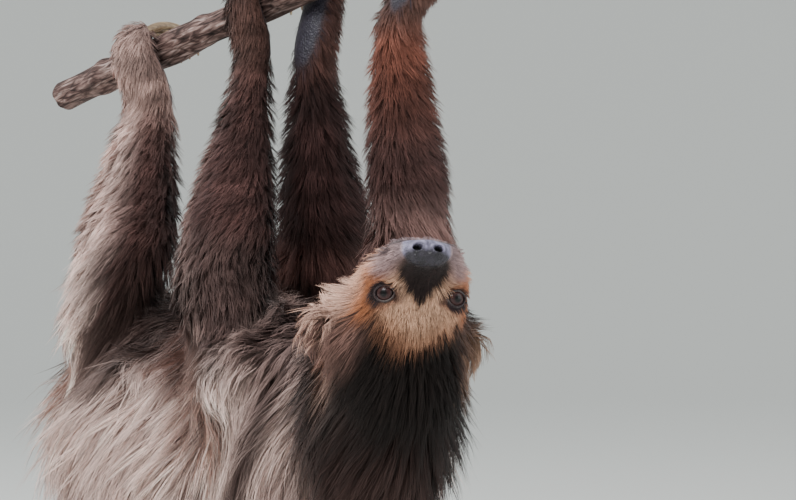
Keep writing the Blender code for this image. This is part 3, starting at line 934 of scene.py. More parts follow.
class Markings:
    """The animal's colours: one function for the skin and for every strand of the coat.

    A place's run along the flank is flank's three numbers: weights of its distance from the
    midline and of Y, and a start. The two hollows of painted shade are given by run and height.
    """

    flank: Triple = (-0.891, -0.454, -0.113)
    # Width of the painted shade behind the shoulder; centre and size of the painted shade in the groin.
    shoulder_shade_width: float = 0.0095
    groin: tuple[float, float] = (-0.190, 0.318)
    groin_shade_size: tuple[float, float] = (0.040, 0.027)

    def __init__(self) -> None:
        """Sets the slow patches, the crimps of the leg hair and the nose's pebbles up."""
        self.broad = WaveNoise(0.060, 3)
        self.fine = WaveNoise(0.016, 5)
        self.rings = WaveNoise(0.0075, 9, 14)
        self.pebbles = WaveNoise(0.0030, 41)

    def at(self, points: Rows, normals: Rows, weights: Rows) -> Rows:
        """Works out the colours.

        Args:
            points: Places on the skin.
            normals: Outward directions there.
            weights: How much of each flesh node each point belongs to.

        Returns:
            One linear colour for each point.
        """
        part = {name: weights[:, index] for index, name in enumerate(FLESH)}
        x, y, z = points.T
        fine = self.fine.at(points)
        patch = 0.5 + 0.5 * np.clip(0.7 * self.broad.at(points) + 0.5 * fine, -1, 1)
        # Darker brown where the belly faces up towards the branch: partly the belly's own hair, partly
        # painted shade.
        belly = ease(normals[:, 2], 0.30, 0.85) * ease(y, 0.300, 0.200) * ease(z, 0.288, 0.318)
        trunk = mix(mix(TINTS.flank_dark, TINTS.flank_pale, patch), TINTS.belly, belly * 0.85)
        nape = mix(TINTS.nape_dark, TINTS.nape_brown, patch)
        along = y + 0.014 * fine
        trunk = mix(trunk, nape, ease(along, -0.180, -0.245) * 0.50)
        side = ease(np.abs(x - MIDLINE), 0.036, 0.066) * ease(z, 0.15, 0.22)
        nape = mix(nape, TINTS.nape_side, side * (0.75 + 0.17 * ease(z, 0.235, 0.275)))
        collar = ease(along, -0.250, -0.195) * ease(z, 0.235, 0.200)
        nape = mix(nape, trunk, collar * 0.85)
        colour = trunk * (part["trunk"] + part["tail"])[:, None] + nape * part["neck"][:, None]
        face = sum(part[name] for name in (*FACE, *EAR_SEATS))
        colour += self.face(points, normals) * face[:, None]
        for leg in LEGS:
            colour += self.leg(leg, points, normals, part, patch)
        return np.clip(self.shadow(points, colour), 0.0, 1.0)

    def shadow(self, points: Rows, colour: Rows) -> Rows:
        """Paints shade into the hollows of the coat behind the shoulder and before the thigh.

        Args:
            points: Places on the skin or along the strands.
            colour: Their linear colours.

        Returns:
            The colours with the hollows in them.
        """
        x, y, z = points.T
        out, along, start = self.flank
        run = out * np.abs(x - MIDLINE) + along * y + start
        # A band of painted shade behind the shoulder.
        streak = bell(run + 0.0903 + 0.33 * (0.274 - z), 0.0, self.shoulder_shade_width)
        streak = streak * ease(z, 0.300, 0.282) * ease(z, 0.180, 0.205)
        # A patch of painted shade where the thigh meets the flank.
        away, rise = run - self.groin[0], z - self.groin[1]
        across, high = self.groin_shade_size
        groin = ease(np.hypot(away / across, (rise - 0.45 * away) / high), 1.25, 0.75)
        share = np.clip(streak + groin * 0.82, 0.0, 0.94)
        return mix(colour, colour * 0.10 + srgb(TINTS.hollow_shade) * 0.80, share)

    def leg(self, leg: Leg, points: Rows, normals: Rows, part: dict[str, Rows], patch: Rows) -> Rows:
        """Colours one leg, with painted rim light on its outer rear side and the far hind leg darker as
        painted shade.

        Args:
            leg: Which leg.
            points: Places on the skin.
            normals: Outward directions there.
            part: How much of each flesh node each point belongs to.
            patch: The slow patches, from 0 to 1.

        Returns:
            Linear colours, weighted by how much of the leg each point belongs to.
        """
        z = points[:, 2]
        upper, lower, end = (part[name][:, None] for name in leg.parts())
        # Painted rim light on sides facing outward and to the rear, painted shade on the rest; partly
        # also the leg's own paler outer hair.
        facing = normals @ np.array((0.86 * leg.side, 0.50, 0.0))
        rim = ease(facing, 0.55, 0.97)
        red = ease(z, 0.44, 0.53)
        if leg.name == "hind_left":
            shaft = mix(TINTS.shin_dark_shaded_side, TINTS.shin_pale_lit_side, ease(facing, -0.35, 0.65))
            shaft = mix(shaft, TINTS.shin_top, red)
            thigh = mix(TINTS.thigh_dark_shaded_side, TINTS.thigh_pale_lit_side, ease(facing, 0.05, 0.80))
            thigh = mix(thigh, TINTS.limb_root, ease(z, 0.305, 0.265) * 0.9)
            hand = TINTS.foot_pale
        elif leg.name == "hind_right":
            # The far hind leg: darker tints as painted shade, with painted rim light.
            shaft = mix(TINTS.far_shin_shaded, TINTS.far_shin_lit_rim, rim * 0.5)
            thigh = mix(TINTS.far_thigh_shaded, TINTS.far_thigh_lit_rim, ease(facing, -0.10, 0.65) * 0.8)
            hand = TINTS.far_foot_shaded
        else:
            near = leg.name == "fore_left"
            shaft = mix(TINTS.forearm, TINTS.forearm_brown if near else TINTS.forearm_red, red)
            shaft = mix(shaft, TINTS.forearm_lit_rim, rim * 0.75)
            shaft = mix(shaft, TINTS.forearm_low, ease(z, 0.43, 0.39) * (0.0 if near else 0.8))
            thigh = mix(TINTS.arm_near if near else TINTS.arm_far, TINTS.arm_lit_rim, rim * 0.6)
            thigh = mix(thigh, TINTS.limb_root, ease(z, 0.318, 0.275) * 0.92)
            hand = TINTS.hand
        squash = points * np.array((0.30, 0.30, 1.0))
        crimp = 1.0 + 0.22 * np.clip(self.rings.at(squash), -1.2, 1.2)
        tone = ((0.76 + 0.48 * patch) * crimp)[:, None]
        hand = mix(srgb(hand) * tone, TINTS.palm, palm_share(leg, points, normals))
        return thigh * tone * upper + shaft * tone * lower + hand * end

    def face(self, points: Rows, normals: Rows) -> Rows:
        """Colours the head: tan brow, orange cheeks, dark crown, pale ruff with painted light on one
        edge, grey snout.

        Args:
            points: Places on the skin.
            normals: Outward directions there.

        Returns:
            One linear colour for each point.
        """
        local = HEAD.to_local(points)
        forward, left, crown = local.T
        side = np.abs(left)
        ragged = 0.0022 * self.fine.at(points)
        reach = np.linalg.norm(local - np.array(BROW_MIDDLE), axis=1) + ragged
        tan = mix(TINTS.brow, TINTS.brow_brown, ease(reach, 0.012, 0.034))
        colour = mix(tan, TINTS.crown, ease(reach, 0.025, 0.041))
        low = ease(crown, 0.040, 0.022)
        mane = mix(TINTS.mane_brown, TINTS.mane_tan, ease(left, -0.026, -0.036))
        colour = mix(colour, mane, ease(forward, 0.026, 0.008) * ease(side, 0.022, 0.034) * low)
        cheek = ease(side, 0.015, 0.024) * ease(side, 0.048, 0.038)
        cheek = cheek * ease(crown, 0.024, 0.012) * ease(forward, 0.006, 0.020)
        colour = mix(colour, mix(TINTS.cheek_orange, TINTS.cheek_pale, ease(crown, 0.006, -0.010)), cheek)
        # Pale ruff fur with painted light where the skin faces left, back and up.
        edge = ease(normals @ np.array((-0.78, 0.44, 0.44)), 0.45, 0.90) * ease(side, 0.030, 0.042)
        colour = mix(colour, TINTS.ruff_lit_edge, edge * low * 0.9)
        snout = ease(forward, 0.036, 0.046) * ease(crown, 0.010, 0.000)
        colour = mix(colour, TINTS.snout, snout * 0.85)
        width = 0.0030 + 0.0135 * ease(forward, 0.036, 0.058)
        bridge = ease((side + ragged) / width, 1.30, 0.80) * ease(forward, 0.027, 0.040)
        colour = mix(colour, TINTS.bridge, bridge * ease(crown, 0.0005, 0.0055))
        for eye in Side:
            colour = self.lids(colour, local, eye)
        return self.nose(colour, points, local)

    def lids(self, colour: Rows, local: Rows, side: int) -> Rows:
        """Colours the skin and hair round one eye.

        Args:
            colour: Linear colours so far.
            local: Points in head axes.
            side: Which eye.

        Returns:
            The colours with dark lids spread by painted shade, a pale lower rim that is partly a painted
            reflection and a dark tear corner.
        """
        eye = EyeView(local, side)
        near = ease(eye.reach, 0.0175, 0.0140)
        colour = mix(colour, TINTS.lid_outside, ease(eye.ring, 2.3, 1.7) * near * 0.7)
        # Dark lid skin, spread wider on the nose side as painted shade.
        inner = ease(eye.offset @ (eye.rise - eye.across), -0.003, 0.004)
        dark = ease(eye.ring / (1.0 + 0.28 * (1.0 - inner)), 1.62, 1.32)
        colour = mix(colour, TINTS.lid_dark_and_shade, dark * near)
        # Pale wet margin of the lower lid, partly a painted reflection.
        rim = ease(np.abs(eye.ring - 1.15), 0.13, 0.05) * near * inner
        colour = mix(colour, TINTS.lid_rim_and_reflection, rim * 0.6)
        corner = eye.offset - eye.look * 0.004 + eye.across * 0.0085
        tear = np.linalg.norm(corner / np.array((0.007, 0.006, 0.005)), axis=1)
        return mix(colour, TINTS.tear, ease(tear, 1.2, 0.5) * 0.7)

    def nose(self, colour: Rows, points: Rows, local: Rows) -> Rows:
        """Colours the nose pad with a painted highlight, and the nostrils and the line of the mouth with
        painted shade in them.

        Args:
            colour: Linear colours so far.
            points: Places on the skin.
            local: The same places in head axes.

        Returns:
            The colours with nose and mouth.
        """
        forward, left, crown = local.T
        side = np.abs(left)
        # The pad's edge away from the crown gets a painted highlight over its dark skin.
        pad = mix(TINTS.pad_dark, TINTS.pad_highlight, ease(crown, 0.0045, -0.0015))
        pad = pad * (1.0 + 0.35 * np.clip(self.pebbles.at(points), -1, 1))[:, None]
        share = ease(forward, 0.0625, 0.0655) * ease(side, 0.0168, 0.0142)
        colour = mix(colour, pad, share)
        # Dark nostril skin with painted shade inside the holes.
        holes = np.hypot((side - NOSTRIL[1]) / 0.0031, (crown - NOSTRIL[2]) / 0.0026)
        colour = mix(colour, TINTS.nostril, ease(holes, 1.15, 0.80) * share)
        # Dark lip skin with painted shade in the crease of the mouth and its corner fold.
        lips = ease(np.abs(crown - MOUTH_CROWN), 0.0036, 0.0014) * ease(forward, 0.026, 0.034)
        fold = np.hypot((forward - 0.0550) / 0.0040, (crown + 0.0062) / 0.0026)
        lips = np.maximum(lips, ease(fold, 1.3, 0.6) * ease(left, 0.014, 0.018))
        return mix(colour, TINTS.mouth, lips * 0.85)


@dataclass
class Skin:
    """The one skin over all the flesh, inside the coat, with the face modelled on it."""

    nodes: dict[str, Piece]
    outline_voxel: float = 0.0028
    skin_voxel: float = 0.0030
    overlap: float = 0.0008
    lid: float = 0.0012
    sink_rounds: int = 10
    lie_rounds: int = 64
    face_size: float = 0.052
    pad_height: float = 0.0016

    def __post_init__(self) -> None:
        """Sets the markings up."""
        self.markings = Markings()

    def build(self) -> Piece:
        """Models the skin.

        Returns:
            The finished skin, with its weights, normals and lie of the coat kept here.
        """
        self.piece, weights = self.outline()
        known = self.sink(weights)
        self.refine()
        self.weights = self.transfer(*known)
        self.sculpt()
        self.dress()
        return self.piece

    def outline(self) -> tuple[Piece, Rows]:
        """Joins the flesh out to the tips of the coat, with balls behind the lids.

        Returns:
            The outline and which flesh node each of its points belongs to.
        """
        copies, places, faces, labels = [], [], [], []
        for index, name in enumerate(FLESH):
            shape = bmesh.new()
            shape.from_mesh(self.nodes[name].data)
            bmesh.ops.remove_doubles(shape, verts=shape.verts, dist=WELD)
            bmesh.ops.recalc_face_normals(shape, faces=shape.faces)
            start = len(places)
            places += [vert.co.copy() for vert in shape.verts]
            faces += [[start + vert.index for vert in face.verts] for face in shape.faces]
            labels += [index] * len(shape.faces)
            if name not in EAR_SEATS:
                for vert in shape.verts:
                    vert.co += vert.normal * self.overlap
                mesh = bpy.data.meshes.new(f"flesh_{name}")
                shape.to_mesh(mesh)
                copies.append(add_object(f"flesh_{name}", mesh))
            shape.free()
        for side in Side:
            ball = add_ball()
            local = get_points(ball.data) * (EYE_RADIUS + self.lid)
            set_points(ball.data, HEAD.to_world(local + eye_seat(side)))
            copies.append(ball)
        body = join(copies, "sloth_skin")
        remesh(body, self.outline_voxel, 4)
        tree = BVHTree.FromPolygons(places, faces)
        owners = [labels[tree.find_nearest(Vector(point))[2]] for point in get_points(body.data)]
        return body, np.eye(len(FLESH), dtype=np.float32)[owners]

    def depth(self, points: Rows, normals: Rows, weights: Rows) -> Rows:
        """Finds how far under the coat's tips the skin lies.

        Args:
            points: Places on the skin.
            normals: Outward directions there.
            weights: How much of each flesh node each point belongs to.

        Returns:
            A depth for each point, less on the belly and least on the face.
        """
        belly = share_of(weights, "trunk") * ease(normals[:, 2], 0.30, 0.90)
        face = share_of(weights, "head") * (1.0 - ease(face_reach(points), 0.032, 0.064))
        return by_weight(weights, "depth") * (1.0 - 0.45 * belly) * (1.0 - face * 0.91)

    def sink(self, weights: Rows) -> tuple[Rows, Rows]:
        """Moves the outline in by the coat's depth, adds the ears and remeshes.

        Args:
            weights: Which flesh node each point of the outline belongs to.

        Returns:
            The sunk points before the remeshing, and their smoothed weights.
        """
        mesh = self.piece.data
        links = Links(mesh)
        weights = links.smooth(weights, 34)
        points = get_points(mesh)
        depth = links.smooth(self.depth(points, get_normals(mesh), weights), 12)
        share = (0.5 * np.clip(depth / 0.010, 0.0, 1.0))[:, None]
        for _ in range(self.sink_rounds):
            normals = links.smooth(get_normals(mesh), 2)
            points = points - unit(normals) * (depth / self.sink_rounds)[:, None]
            points = links.smooth(points, 1, share)
            set_points(mesh, points)
        pieces = [self.piece]
        for seat in EAR_SEATS.values():
            ear = add_ball()
            local = get_points(ear.data) * np.array(EAR_RADII)
            local[:, 0] -= 0.25 * local[:, 1] * math.copysign(1.0, seat[1])
            set_points(ear.data, HEAD.to_world(local + np.array(seat)))
            pieces.append(ear)
        self.piece = join(pieces, "sloth_skin")
        remesh(self.piece, self.skin_voxel, 3)
        return points, weights

    def refine(self) -> None:
        """Divides the faces finely on the face, and more so round eyes, nose and mouth."""
        mesh = self.piece.data
        for inner in (False, True):
            with opened(mesh) as shape:
                points = np.array([face.calc_center_median() for face in shape.faces])
                near = face_reach(points) < self.face_size
                chosen = near_detail(HEAD.to_local(points)) if inner else near
                wanted = [face for face, picked in zip(shape.faces, chosen) if picked]
                edges = list({edge for face in wanted for edge in face.edges})
                bmesh.ops.subdivide_edges(shape, edges=edges, cuts=1, use_grid_fill=True)
                long_faces = [face for face in shape.faces if len(face.verts) > 4]
                bmesh.ops.triangulate(shape, faces=long_faces)
        points = get_points(mesh)
        share = (0.5 * ease(face_reach(points), 0.060, 0.045))[:, None]
        set_points(mesh, Links(mesh).smooth(points, 4, share))

    def transfer(self, known: Rows, weights: Rows) -> Rows:
        """Carries the weights over from the points before the remeshing.

        Args:
            known: Those points.
            weights: Their weights.

        Returns:
            Weights of the skin's own points, with the ears in them.
        """
        points = get_points(self.piece.data)
        weights = weights[nearest_rows(known, points)]
        local = HEAD.to_local(points)
        for name, seat in EAR_SEATS.items():
            reach = np.linalg.norm(local - np.array(seat), axis=1)
            out = (local[:, 1] - seat[1]) * math.copysign(1.0, seat[1])
            ear = ease(reach, 0.0145, 0.0110) * ease(out, -0.004, 0.002)
            weights = weights * (1.0 - ear)[:, None]
            weights[:, FLESH.index(name)] += ear
        return Links(self.piece.data).smooth(weights, 2)

    def sculpt(self) -> None:
        """Shapes lids, nostrils, ear bowls, mouth, nose and the pads of the feet."""
        mesh = self.piece.data
        local = HEAD.to_local(get_points(mesh))
        for side in Side:
            self.open_lids(local, side)
            self.sink_nostril(local, side)
        for seat in EAR_SEATS.values():
            self.hollow_ear(local, np.array(seat))
        self.cut_mouth(local)
        points = HEAD.to_world(local)
        normals = get_normals(mesh)
        for leg in LEGS:
            palm = palm_share(leg, points, normals) * share_of(self.weights, leg.end)
            points = points + normals * (self.pad_height * palm)[:, None]
        set_points(mesh, points)

    @staticmethod
    def open_lids(local: Rows, side: int) -> None:
        """Opens the skin over one eyeball, with a thick rim and a fold outside it.

        Args:
            local: Points in head axes, which are moved.
            side: Which eye.
        """
        eye = EyeView(local, side)
        flat = np.hypot(*eye.sides)
        wide = ease(eye.reach, 0.030, 0.018)
        local += eye.look * (0.0032 * bell(flat, 0.0, 0.0135) * wide)[:, None]
        eye = EyeView(local, side)
        height = eye.offset @ eye.look
        edge = ease(eye.ring, 0.90, 1.07)
        radius = (EYE_RADIUS - 0.0024) * (1 - edge) + (EYE_RADIUS + 0.0010) * edge
        shell = np.sqrt(np.maximum(radius**2 - flat**2, (0.40 * radius) ** 2))
        near = ease(eye.reach, 0.022, 0.017) * ease(height, -0.010, -0.006)
        hold = near * ease(eye.ring, 2.05, 1.22)
        fold = 0.0007 * bell(eye.ring, 1.50, 0.10) * near
        rim = 0.0004 * bell(eye.ring, 1.14, 0.09) * near
        local += eye.look * ((shell - height) * hold - fold + rim)[:, None]

    @staticmethod
    def sink_nostril(local: Rows, side: int) -> None:
        """Sinks one nostril and raises its rim.

        Args:
            local: Points in head axes, which are moved.
            side: Which nostril.
        """
        across, rise = local[:, 1] - side * NOSTRIL[1], local[:, 2] - NOSTRIL[2]
        reach = np.hypot(across / 0.0030, rise / 0.0025)
        dent = ease(reach, 1.15, 0.55) * ease(local[:, 0], 0.066, 0.070)
        rim = bell(reach, 1.35, 0.25) * ease(local[:, 0], 0.067, 0.071)
        local[:, 0] += 0.0008 * rim - 0.0055 * dent

    @staticmethod
    def hollow_ear(local: Rows, seat: Rows) -> None:
        """Hollows the front of one ear.

        Args:
            local: Points in head axes, which are moved.
            seat: The middle of the ear.
        """
        side = math.copysign(1.0, seat[1])
        bowl = seat + np.array((0.004, side * 0.008, 0.0))
        reach = np.linalg.norm((local - bowl) / np.array((0.006, 0.006, 0.0065)), axis=1)
        local[:, 1] -= side * 0.0045 * ease(reach, 1.1, 0.3)

    @staticmethod
    def cut_mouth(local: Rows) -> None:
        """Cuts the line of the mouth, the split between the nostrils and the pad's edge.

        Args:
            local: Points in head axes, which are moved.
        """
        forward, left, crown = local.copy().T
        smile = MOUTH_CROWN + 0.0035 * ease(forward, 0.050, 0.026)
        groove = bell(crown, smile, 0.0010) * ease(forward, 0.024, 0.032)
        groove = groove * ease(np.abs(left), 0.040, 0.028) * ease(forward, 0.074, 0.066)
        local[:, 1] -= np.sign(left) * 0.0016 * groove
        lip = bell(crown, smile + 0.0024, 0.0015) * ease(forward, 0.026, 0.036)
        local[:, 1] += np.sign(local[:, 1]) * 0.0007 * lip * ease(forward, 0.070, 0.062)
        split = bell(local[:, 1], 0.0, 0.0007) * ease(forward, 0.068, 0.072)
        local[:, 0] -= 0.0008 * split
        ring = bell(local[:, 0], 0.0640, 0.0011) * ease(crown, -0.008, -0.002)
        local[:, 2] -= 0.0007 * ring * np.sign(crown)

    def dress(self) -> None:
        """Colours, unwraps and dresses the skin and works out the lie of the coat."""
        mesh = self.piece.data
        self.points = get_points(mesh)
        self.normals = get_normals(mesh)
        self.bare = self.bareness()
        colours = self.markings.at(self.points, self.normals, self.weights)
        set_colour(mesh, colours * (0.62 + 0.38 * self.bare)[:, None])
        set_layer(mesh, "Bare", self.bare)
        self.lie = self.lie_of_coat()
        self.unwrap()
        shade_smooth(mesh)
        wear(self.piece, SkinFinish().make())
        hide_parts(*FLESH)
        ride(self.piece, Slot.BROWN_COAT)

    def bareness(self) -> Rows:
        """Finds where no hair grows: nose, lids, lips, palms and soles.

        Returns:
            How bare each point of the skin is, from 0 to 1.
        """
        local = HEAD.to_local(self.points)
        reach = face_reach(self.points)
        pad = share_of(self.weights, "nose_pad").astype(float)
        bare = np.maximum(ease(pad, 0.3, 0.6), ease(local[:, 0], 0.0630, 0.0650))
        bare *= ease(reach, 0.06, 0.05)
        for side in Side:
            eye = EyeView(local, side)
            lids = ease(eye.reach, 0.0140, 0.0125) * ease(eye.ring, 1.52, 1.36)
            bare = np.maximum(bare, lids)
        lips = ease(np.abs(local[:, 2] - MOUTH_CROWN), 0.0022, 0.0012)
        lips *= ease(local[:, 0], 0.034, 0.042) * ease(reach, 0.05, 0.04)
        bare = np.maximum(bare, lips)
        for leg in LEGS:
            palm = palm_share(leg, self.points, self.normals)
            bare = np.maximum(bare, palm * share_of(self.weights, leg.end))
        return np.clip(bare, 0.0, 1.0)

    def lie_of_coat(self) -> Rows:
        """Works out the way the hair lies from root to tip.

        Returns:
            Unit vectors along the skin.
        """
        normals, points = self.normals, self.points
        part = {name: self.weights[:, [index]] for index, name in enumerate(FLESH)}
        side = np.sign(points[:, :1]) * np.array((1.0, 0.0, 0.0))
        top = ease(normals[:, 2], 0.1, 0.9)[:, None]
        down = normals * normals[:, 2:3] - UP
        back = 0.22 - 0.55 * ease(points[:, 1], 0.20, 0.02)[:, None] * ease(top, 0.0, 0.5)
        lie = (down + side * top * 0.9 + REAR * back) * (part["trunk"] + part["tail"])
        lie += (down + REAR * 0.40) * part["neck"]
        away = unit(points - HEAD.to_world(np.array([NOSE_TIP])))
        reach = face_reach(points)
        fall = ease(reach, 0.035, 0.080)[:, None]
        head = away * (1.0 - 0.45 * fall) + down * 0.75 * fall
        lie += head * sum(part[name] for name in FACE)
        lie += (down + away * 0.35) * (part["ear_left"] + part["ear_right"])
        for leg in LEGS:
            outward = leg.outward(PERCH)
            for name, inward, turn in zip(leg.parts(), leg.inward(PERCH), (0.62, 0.80, 0.30)):
                lie += (inward + outward * turn - UP * 0.20) * part[name]
        swirl = WaveNoise(0.040, 11).at(points)[:, None] * 0.34
        lie = flatten(lie + np.cross(normals, unit(lie)) * swirl, normals)
        share = 0.1 + 0.4 * ease(reach, 0.035, 0.070)[:, None]
        lie = Links(self.piece.data).smooth(unit(lie), self.lie_rounds, share)
        return unit(flatten(lie, normals))

    def unwrap(self) -> None:
        """Unwraps the skin along its own shape."""
        layers = self.piece.data.uv_layers
        while layers:
            layers.remove(layers[0])
        layers.new(name=UV_NAME)
        select_only(self.piece)
        bpy.ops.object.mode_set(mode="EDIT")
        bpy.ops.mesh.select_all(action="SELECT")
        bpy.ops.uv.smart_project(angle_limit=math.radians(75), island_margin=0.002)
        bpy.ops.object.mode_set(mode="OBJECT")


@dataclass
class Strands:
    """Roots of the coat's strands and all that shapes them."""

    root: Rows
    normal: Rows
    lie: Rows
    weights: Rows
    uv: Rows
    length: Rows
    width: Rows
    steps: Rows
    wave: Rows


@dataclass
class Coat:
    """Hair as tapered blades in locks that share a guide, following the lie of the skin.

    The skin is the finished one, crowd the share of the full number of strands, per_metre
    the square centimetres in a square metre, and bald how bare the skin is where hair ends.
    """

    skin: Skin
    crowd: float
    per_metre: float = 1e4
    per_guide: int = 9
    least_steps: int = 3
    most_steps: int = 7
    bald: float = 0.45
    twist: float = 0.45

    def __post_init__(self) -> None:
        """Makes the skin ready for finding the nearest place on it."""
        faces = [list(face.vertices) for face in self.skin.piece.data.polygons]
        self.tree = BVHTree.FromPolygons([Vector(point) for point in self.skin.points], faces)
        self.run = np.linspace(0, 1, self.most_steps + 1)[None, :]

    def build(self) -> list[Piece]:
        """Grows the coat and splits it into pieces by part of the body.

        Returns:
            The pieces.
        """
        strands = self.plant()
        paths = self.grow(strands)
        finish = HairFinish().make()
        pieces = []
        for name, rows in self.share_out(strands).items():
            slot = Slot.FACE if name == "head" else Slot.GREY_COAT
            slot = Slot.BROWN_COAT if name.startswith(("fore", "hind")) else slot
            piece = self.mesh_of(f"coat_{name}", strands, paths, rows)
            wear(piece, finish)
            ride(piece, slot)
            pieces.append(piece)
        return pieces

    def crowding(self) -> Rows:
        """Works out how crowded the strands stand, most of all on the face.

        Returns:
            Strands on a square centimetre at each point of the skin.
        """
        skin = self.skin
        close = ease(face_reach(skin.points), 0.050, 0.030) * share_of(skin.weights, "head")
        return by_weight(skin.weights, "crowd") * (1.0 + 1.1 * close) * (skin.bare < self.bald)

    def plant(self) -> Strands:
        """Scatters the roots over the skin, by area and by how crowded each part is.

        Returns:
            The roots with the lengths, widths and steps of their strands.
        """
        skin, mesh = self.skin, self.skin.piece.data
        mesh.calc_loop_triangles()
        corners = pull(mesh.loop_triangles, "vertices", 3, np.int32)
        loops = pull(mesh.loop_triangles, "loops", 3, np.int32)
        uv = pull(mesh.uv_layers[UV_NAME].data, "uv", 2, np.float32)
        first, second, third = (skin.points[corners[:, corner]] for corner in range(3))
        area = 0.5 * np.linalg.norm(np.cross(second - first, third - first), axis=1)
        expected = area * self.per_metre * self.crowding()[corners].mean(axis=1) * self.crowd
        total = int(expected.sum())
        chosen = np.searchsorted(np.cumsum(expected), RNG.uniform(0, expected.sum(), total))
        chosen = np.clip(chosen, 0, len(corners) - 1)
        spread = RNG.dirichlet((1.0, 1.0, 1.0), total)

        def blend(values: Rows) -> Rows:
            """Values at the roots from those at the triangles' corners."""
            return np.einsum("ij,ij...->i...", spread, values[corners[chosen]])

        weights, root, normal = blend(skin.weights), blend(skin.points), blend(skin.normals)
        head, reach = share_of(weights, "head"), face_reach(root)
        belly = share_of(weights, "trunk") * ease(normal[:, 2], 0.3, 0.9)
        length = by_weight(weights, "length")
        length = length * (1.0 - head * (1.0 - ease(reach, 0.026, 0.074)) * 0.84)
        length = length * (1.0 - 0.35 * belly) * RNG.uniform(0.70, 1.12, total)
        width = by_weight(weights, "width") * RNG.uniform(0.7, 1.25, total)
        width = width * (1.0 - 0.35 * head * (1.0 - ease(reach, 0.03, 0.06)))
        steps = np.round(by_weight(weights, "steps"))
        steps = np.clip(steps, self.least_steps, self.most_steps)
        return Strands(
            root=root,
            normal=unit(normal),
            lie=unit(blend(skin.lie)),
            weights=weights,
            uv=np.einsum("ij,ijk->ik", spread, uv[loops[chosen]]),
            length=length,
            width=width,
            steps=np.where(reach < 0.040, self.least_steps, steps).astype(int),
            wave=by_weight(weights, "wave"),
        )

    def grow(self, strands: Strands) -> Rows:
        """Lays every strand beside its guide, gathered towards its tip and swaying.

        Args:
            strands: The roots.

        Returns:
            Places of each strand from root to tip, as rows of most_steps + 1 points.
        """
        total, run = len(strands.root), self.run
        guides = np.arange(0, total, self.per_guide)
        guide_paths = self.trace(strands, guides)
        owner = nearest_rows(strands.root[guides], strands.root)
        offset = strands.root - strands.root[guides[owner]]
        path = guide_paths[owner] - guide_paths[owner][:, :1]
        stretch = strands.length / strands.length[guides[owner]]
        gather = by_weight(strands.weights, "clump")[:, None, None] * run[:, :, None] ** 1.3
        gather = gather * RNG.uniform(0.4, 1.3, (total, 1, 1))
        paths = strands.root[:, None] + path * np.clip(stretch, 0.5, 1.6)[:, None, None]
        paths = paths - offset[:, None] * np.minimum(gather, 1.0)
        across = np.cross(strands.normal, strands.lie)
        phase = RNG.uniform(0, 2 * math.pi, (total, 1))
        turns = RNG.uniform(1.0, 2.2, (total, 1))
        sway = np.sin(phase + turns * 2 * math.pi * run) - np.sin(phase)
        size = strands.wave[:, None] * 0.30 * run
        paths = paths + across[:, None] * (sway * size)[:, :, None]
        lift = np.cos(phase * 1.7 + turns * 6.0 * run) * size * 0.6
        loose = 0.11 - 0.07 * share_of(strands.weights, "head")[:, None]
        stray = (RNG.uniform(0, 1, (total, 1)) ** 6) * strands.length[:, None] * loose
        lift = lift + stray * run**2
        return paths + strands.normal[:, None] * lift[:, :, None]

    def trace(self, strands: Strands, guides: Rows) -> Rows:
        """Lays each guide over the skin: it rises, then follows the lie at its own height.

        Args:
            strands: The roots.
            guides: Which of them are guides.

        Returns:
            Places of each guide from root to tip.
        """
        skin, count = self.skin, len(guides)
        first = np.array([face.vertices[0] for face in skin.piece.data.polygons])
        place = strands.root[guides].copy()
        normal = strands.normal[guides].copy()
        lie = strands.lie[guides].copy()
        step = strands.length[guides] / self.most_steps
        layer = 0.28 + 0.84 * RNG.uniform(0.0, 1.0, count) ** 0.7
        phase = RNG.uniform(0, 2 * math.pi, count)
        turns = RNG.uniform(1.2, 2.4, count)
        curl = strands.wave[guides] / np.maximum(step, 1e-5)
        depth = self.depth_at(place, strands.weights[guides], normal)
        paths = [place.copy()]
        height = np.zeros(count)
        for t in self.run[0, 1:]:
            climb = np.clip((layer * depth * t**0.62 - height) / step, -0.5, 0.80)
            swing = 0.9 * curl * np.cos(phase + turns * 2 * math.pi * t)
            heading = lie + normal * climb[:, None]
            heading += np.cross(normal, lie) * np.clip(swing, -0.55, 0.55)[:, None]
            place = place + unit(heading) * step[:, None]
            for row, point in enumerate(place):
                spot, _, face, _ = self.tree.find_nearest(Vector(point))
                vertex = first[face]
                normal[row] = skin.normals[vertex]
                lie[row] = 0.6 * lie[row] + 0.4 * skin.lie[vertex]
                height[row] = (Vector(point) - spot).dot(Vector(normal[row]))
            lie = unit(flatten(lie, normal))
            paths.append(place.copy())
        path = np.stack(paths, axis=1)
        for _ in range(2):
            path[:, 1:-1] += 0.5 * (0.5 * (path[:, :-2] + path[:, 2:]) - path[:, 1:-1])
        return path

    def depth_at(self, points: Rows, weights: Rows, normals: Rows) -> Rows:
        """Finds the coat's depth, a little more on the cheeks and where it hangs free below.

        Args:
            points: Roots.
            weights: How much of each flesh node each belongs to.
            normals: Outward directions there.

        Returns:
            A depth for each root.
        """
        hang = ease(-normals[:, 2], 0.4, 1.0) * share_of(weights, "trunk")
        cheek = share_of(weights, "head") * ease(face_reach(points), 0.034, 0.052)
        depth = self.skin.depth(points, normals, weights) + 0.0014 + 0.0030 * cheek
        return depth * (1.0 + 0.10 * hang)

